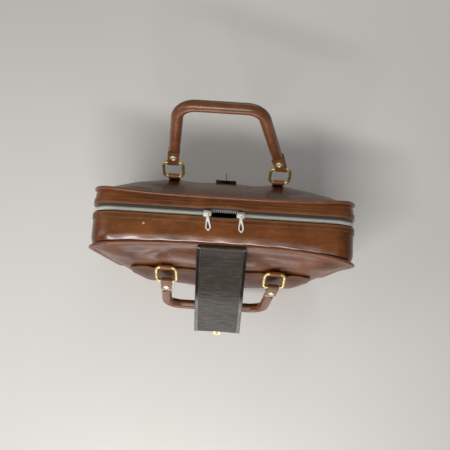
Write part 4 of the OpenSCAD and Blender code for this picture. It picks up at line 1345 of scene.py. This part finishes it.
def cut_away(obj, low, high):
    """Cuts a block, given in mm, out of a piece."""
    bpy.ops.mesh.primitive_cube_add(size=1)
    cutter = bpy.context.object
    remap(cutter, lambda p: [mix(low[k] * MM, high[k] * MM, p[k] + 0.5) for k in range(3)])
    cut_out(obj, cutter)


def cut_round(obj, radius, low, high):
    """Cuts a bore along Z out of a piece."""
    bpy.ops.mesh.primitive_cylinder_add(vertices=40, radius=radius, depth=high - low, location=(0, 0, (low + high) / 2))
    cut_out(obj, bpy.context.object)


def strap_tongue():
    """Brass plate with a tongue that the lock's bolt passes through."""
    corners = in_mm([(-14, 66), (14, 66), (14, 84), (6, 84), (6, 96), (-6, 96), (-6, 84), (-14, 84)])
    plate = cut_plate(rounded_path(corners, 1.6 * MM, 4), 1.4 * MM)
    cut_away(plate, (-2.6, 88, -1), (2.6, 93.2, 3))
    heads = [cut_plate(disc_points(1.7 * MM, 16, x * MM, z * MM), 2.1 * MM, 0.6 * MM, 3)
             for x in (-10, 10) for z in (69.5, 80.5)]
    obj = joined([plate] + heads)
    swap = Matrix(((1, 0, 0, 0), (0, 0, -1, -STRAP_T / 2), (0, 1, 0, 0), (0, 0, 0, 1)))
    turn = Matrix.Rotation(-radians(STRAP_TURN), 4, "X")
    obj.data.transform(Matrix.Translation((0, STRAP_FOLD[0], STRAP_FOLD[1])) @ turn @ swap)
    finish_piece(obj, "strap_tongue_plate", "strap_end", brass_metal, "strap_tongue")


# Lock, in a frame with Y out of the panel and Z up along it

PLUG_R = 4 * MM
BORE_R = 4.05 * MM
COLLAR_R = 6.2 * MM
SCREW_R = 1.6 * MM
SCREW_INSET = 4 * MM
# From the plug's face to the middle of the key's bow, in mm
BOW_MID = 12.5
BOW_R = 5.5
FACE_OUT = Matrix(((1, 0, 0, 0), (0, 0, 1, 0), (0, -1, 0, 0), (0, 0, 0, 1)))


def lock():
    """Brass lock case with a slot in its top, a key plug, a flat key and a bolt."""
    axis = joints["lock_plug"]["axis"]
    y, z = pivot("lock_plug")
    at_plug = Matrix.Translation((0, y, z)) @ Matrix.Rotation(atan2(axis[2], axis[1]), 4, "X")
    w, h = LOCK_HALF
    case = cut_plate(rounded_path(rectangle(-w, -h, w, h), 4 * MM), LOCK_T, 0.8 * MM, 3)
    cut_away(case, (-6.3, -24, 1.8), (6.3, -8, 4.2))
    shift(case, y=-PLUG_DROP)
    collar = cut_plate(disc_points(COLLAR_R, 40), 0.7 * MM)
    shift(collar, z=LOCK_T - 0.1 * MM)
    cut_round(collar, BORE_R, 0, 10 * MM)
    cut_round(case, BORE_R, 1 * MM, 10 * MM)
    screws = []
    for x in (-w + SCREW_INSET, w - SCREW_INSET):
        for y in (-h + SCREW_INSET, h - SCREW_INSET):
            screws.append(cut_plate(disc_points(SCREW_R, 16, x, y - PLUG_DROP), 0.9 * MM, 0.35 * MM))
            shift(screws[-1], z=LOCK_T - 0.2 * MM)
    case = joined([case, collar] + screws)
    case.data.transform(at_plug @ FACE_OUT)
    finish_piece(case, "lock_case_brass", "back_half", lock_brass_painted_shade, "lock_case")

    plug = cut_plate(disc_points(PLUG_R, 40), 5.2 * MM)
    shift(plug, z=1.1 * MM)
    cut_away(plug, (-0.7, -2.1, 1.5), (0.7, 2.1, 9))
    plug.data.transform(at_plug @ FACE_OUT)
    finish_piece(plug, "lock_plug_brass", "lock_plug", brass_metal, "lock_plug")

    # The key's flat stands upright, with bits cut in its blade
    turns = [turn_by(150 - 300 * k / 30) for k in range(31)]
    blade = [(5, -2), (-1.5, -2), (-4.4, -1.2), (-4.4, 1.4), (-3.2, 2), (-2.2, 1.2), (-1.2, 2), (0, 1.5), (1, 2),
             (5, 2)]
    key = cut_plate(in_mm([(BOW_MID + BOW_R * c, BOW_R * s) for c, s in turns] + blade), 1.2 * MM, 0.2 * MM)
    shift(key, x=-BOW_MID * MM, z=-0.6 * MM)
    cut_round(key, 2 * MM, -5 * MM, 5 * MM)
    remap(key, lambda p: (p.z, p.x + BOW_MID * MM + LOCK_T, p.y))
    tidy_mesh(key)
    key.data.transform(at_plug)
    finish_piece(key, "lock_key_brass", "lock_key", brass_metal, "lock_key")

    bolt = rounded_box((-14.6 * MM, 2.1 * MM, 12 * MM), (-6.6 * MM, 3.9 * MM, 16 * MM), 0.4 * MM)
    bolt.data.transform(at_plug @ Matrix.Translation((0, 0, PLUG_DROP)))
    finish_piece(bolt, "lock_bolt_steel", "lock_bolt", nickel_metal, "lock_bolt")


# All the pieces

for side in (-1, 1):
    for make in (panel, gusset, piping, facing, tape, facing_stitches, teeth, zip_stops, sole, grip, rivets):
        make(side)
    for mirror in (-1, 1):
        for make in (ring, ring_loop, tab):
            make(side, mirror)
front_pocket()
brass_stud()
base_board()
hinge_strip()
for mirror in (-1, 1):
    slider(mirror)
    pull(mirror)
strap()
strap_seam()
strap_tongue()
lock()


# Floor, light and camera

def floor():
    """Painted plaster: matte and pale, with faint clouding."""
    bpy.ops.mesh.primitive_plane_add(size=8, location=(0, 0, -0.0004))
    obj = bpy.context.object
    obj.name = "floor"
    material, tree, shader, place = new_material("pale_plaster")
    tone = blended(tree, clouds(tree, place["Object"], 1 / 3, 3.0), srgb("#e4e1db"), srgb("#ebe8e3"))
    connect(tree, shader, {"Base Color": tone})
    shader.inputs["Roughness"].default_value = 0.9
    obj.data.materials.append(material)


def soft_light(name, place, aim, width, height, power):
    lamp = bpy.data.lights.new(name, "AREA")
    lamp.shape = "RECTANGLE"
    lamp.size, lamp.size_y, lamp.energy = width, height, power
    obj = bpy.data.objects.new(name, lamp)
    bpy.context.scene.collection.objects.link(obj)
    obj.location = place
    obj.rotation_euler = (Vector(aim) - Vector(place)).to_track_quat("-Z", "Y").to_euler()


def world_light(level):
    world = bpy.data.worlds.new("studio")
    bpy.context.scene.world = world
    world.use_nodes = True
    back = world.node_tree.nodes["Background"]
    back.inputs["Color"].default_value = (1, 1, 1, 1)
    back.inputs["Strength"].default_value = level


def camera():
    """The photograph's view: nearly from above, the far side a little further off, turned a little."""
    rise, roll = radians(79), radians(3.6)
    back = Vector((0, -cos(rise), sin(rise)))
    up = Vector((0, sin(rise), cos(rise)))
    right = Vector((1, 0, 0)) * cos(roll) + up * sin(roll)
    data = bpy.data.cameras.new("camera")
    data.lens, data.sensor_width = 40.0, 36.0
    data.shift_x, data.shift_y = 1.4 / 450, -2.6 / 450
    data.clip_start, data.clip_end = 0.05, 20
    obj = bpy.data.objects.new("camera", data)
    bpy.context.scene.collection.objects.link(obj)
    obj.matrix_world = axes(right, back.cross(right), back, Vector((0, 0, 0.29)) + back * 0.745)
    bpy.context.scene.camera = obj


floor()
soft_light("front_box", (-0.25, -0.87, 1.45), (0, 0, 0.25), 1.1, 0.12, 18)
soft_light("low_front", (-0.05, -0.85, 0.1), (0, 0, 0.27), 0.5, 0.22, 2.8)
soft_light("left_side", (-1.3, -0.1, 1.0), (0, 0, 0.2), 0.5, 0.9, 3)
soft_light("behind", (0.4, 1.4, 0.8), (0, 0, 0.2), 1.0, 0.5, 4)
world_light(0.12)
camera()
bpy.context.scene.view_settings.view_transform = "Standard"
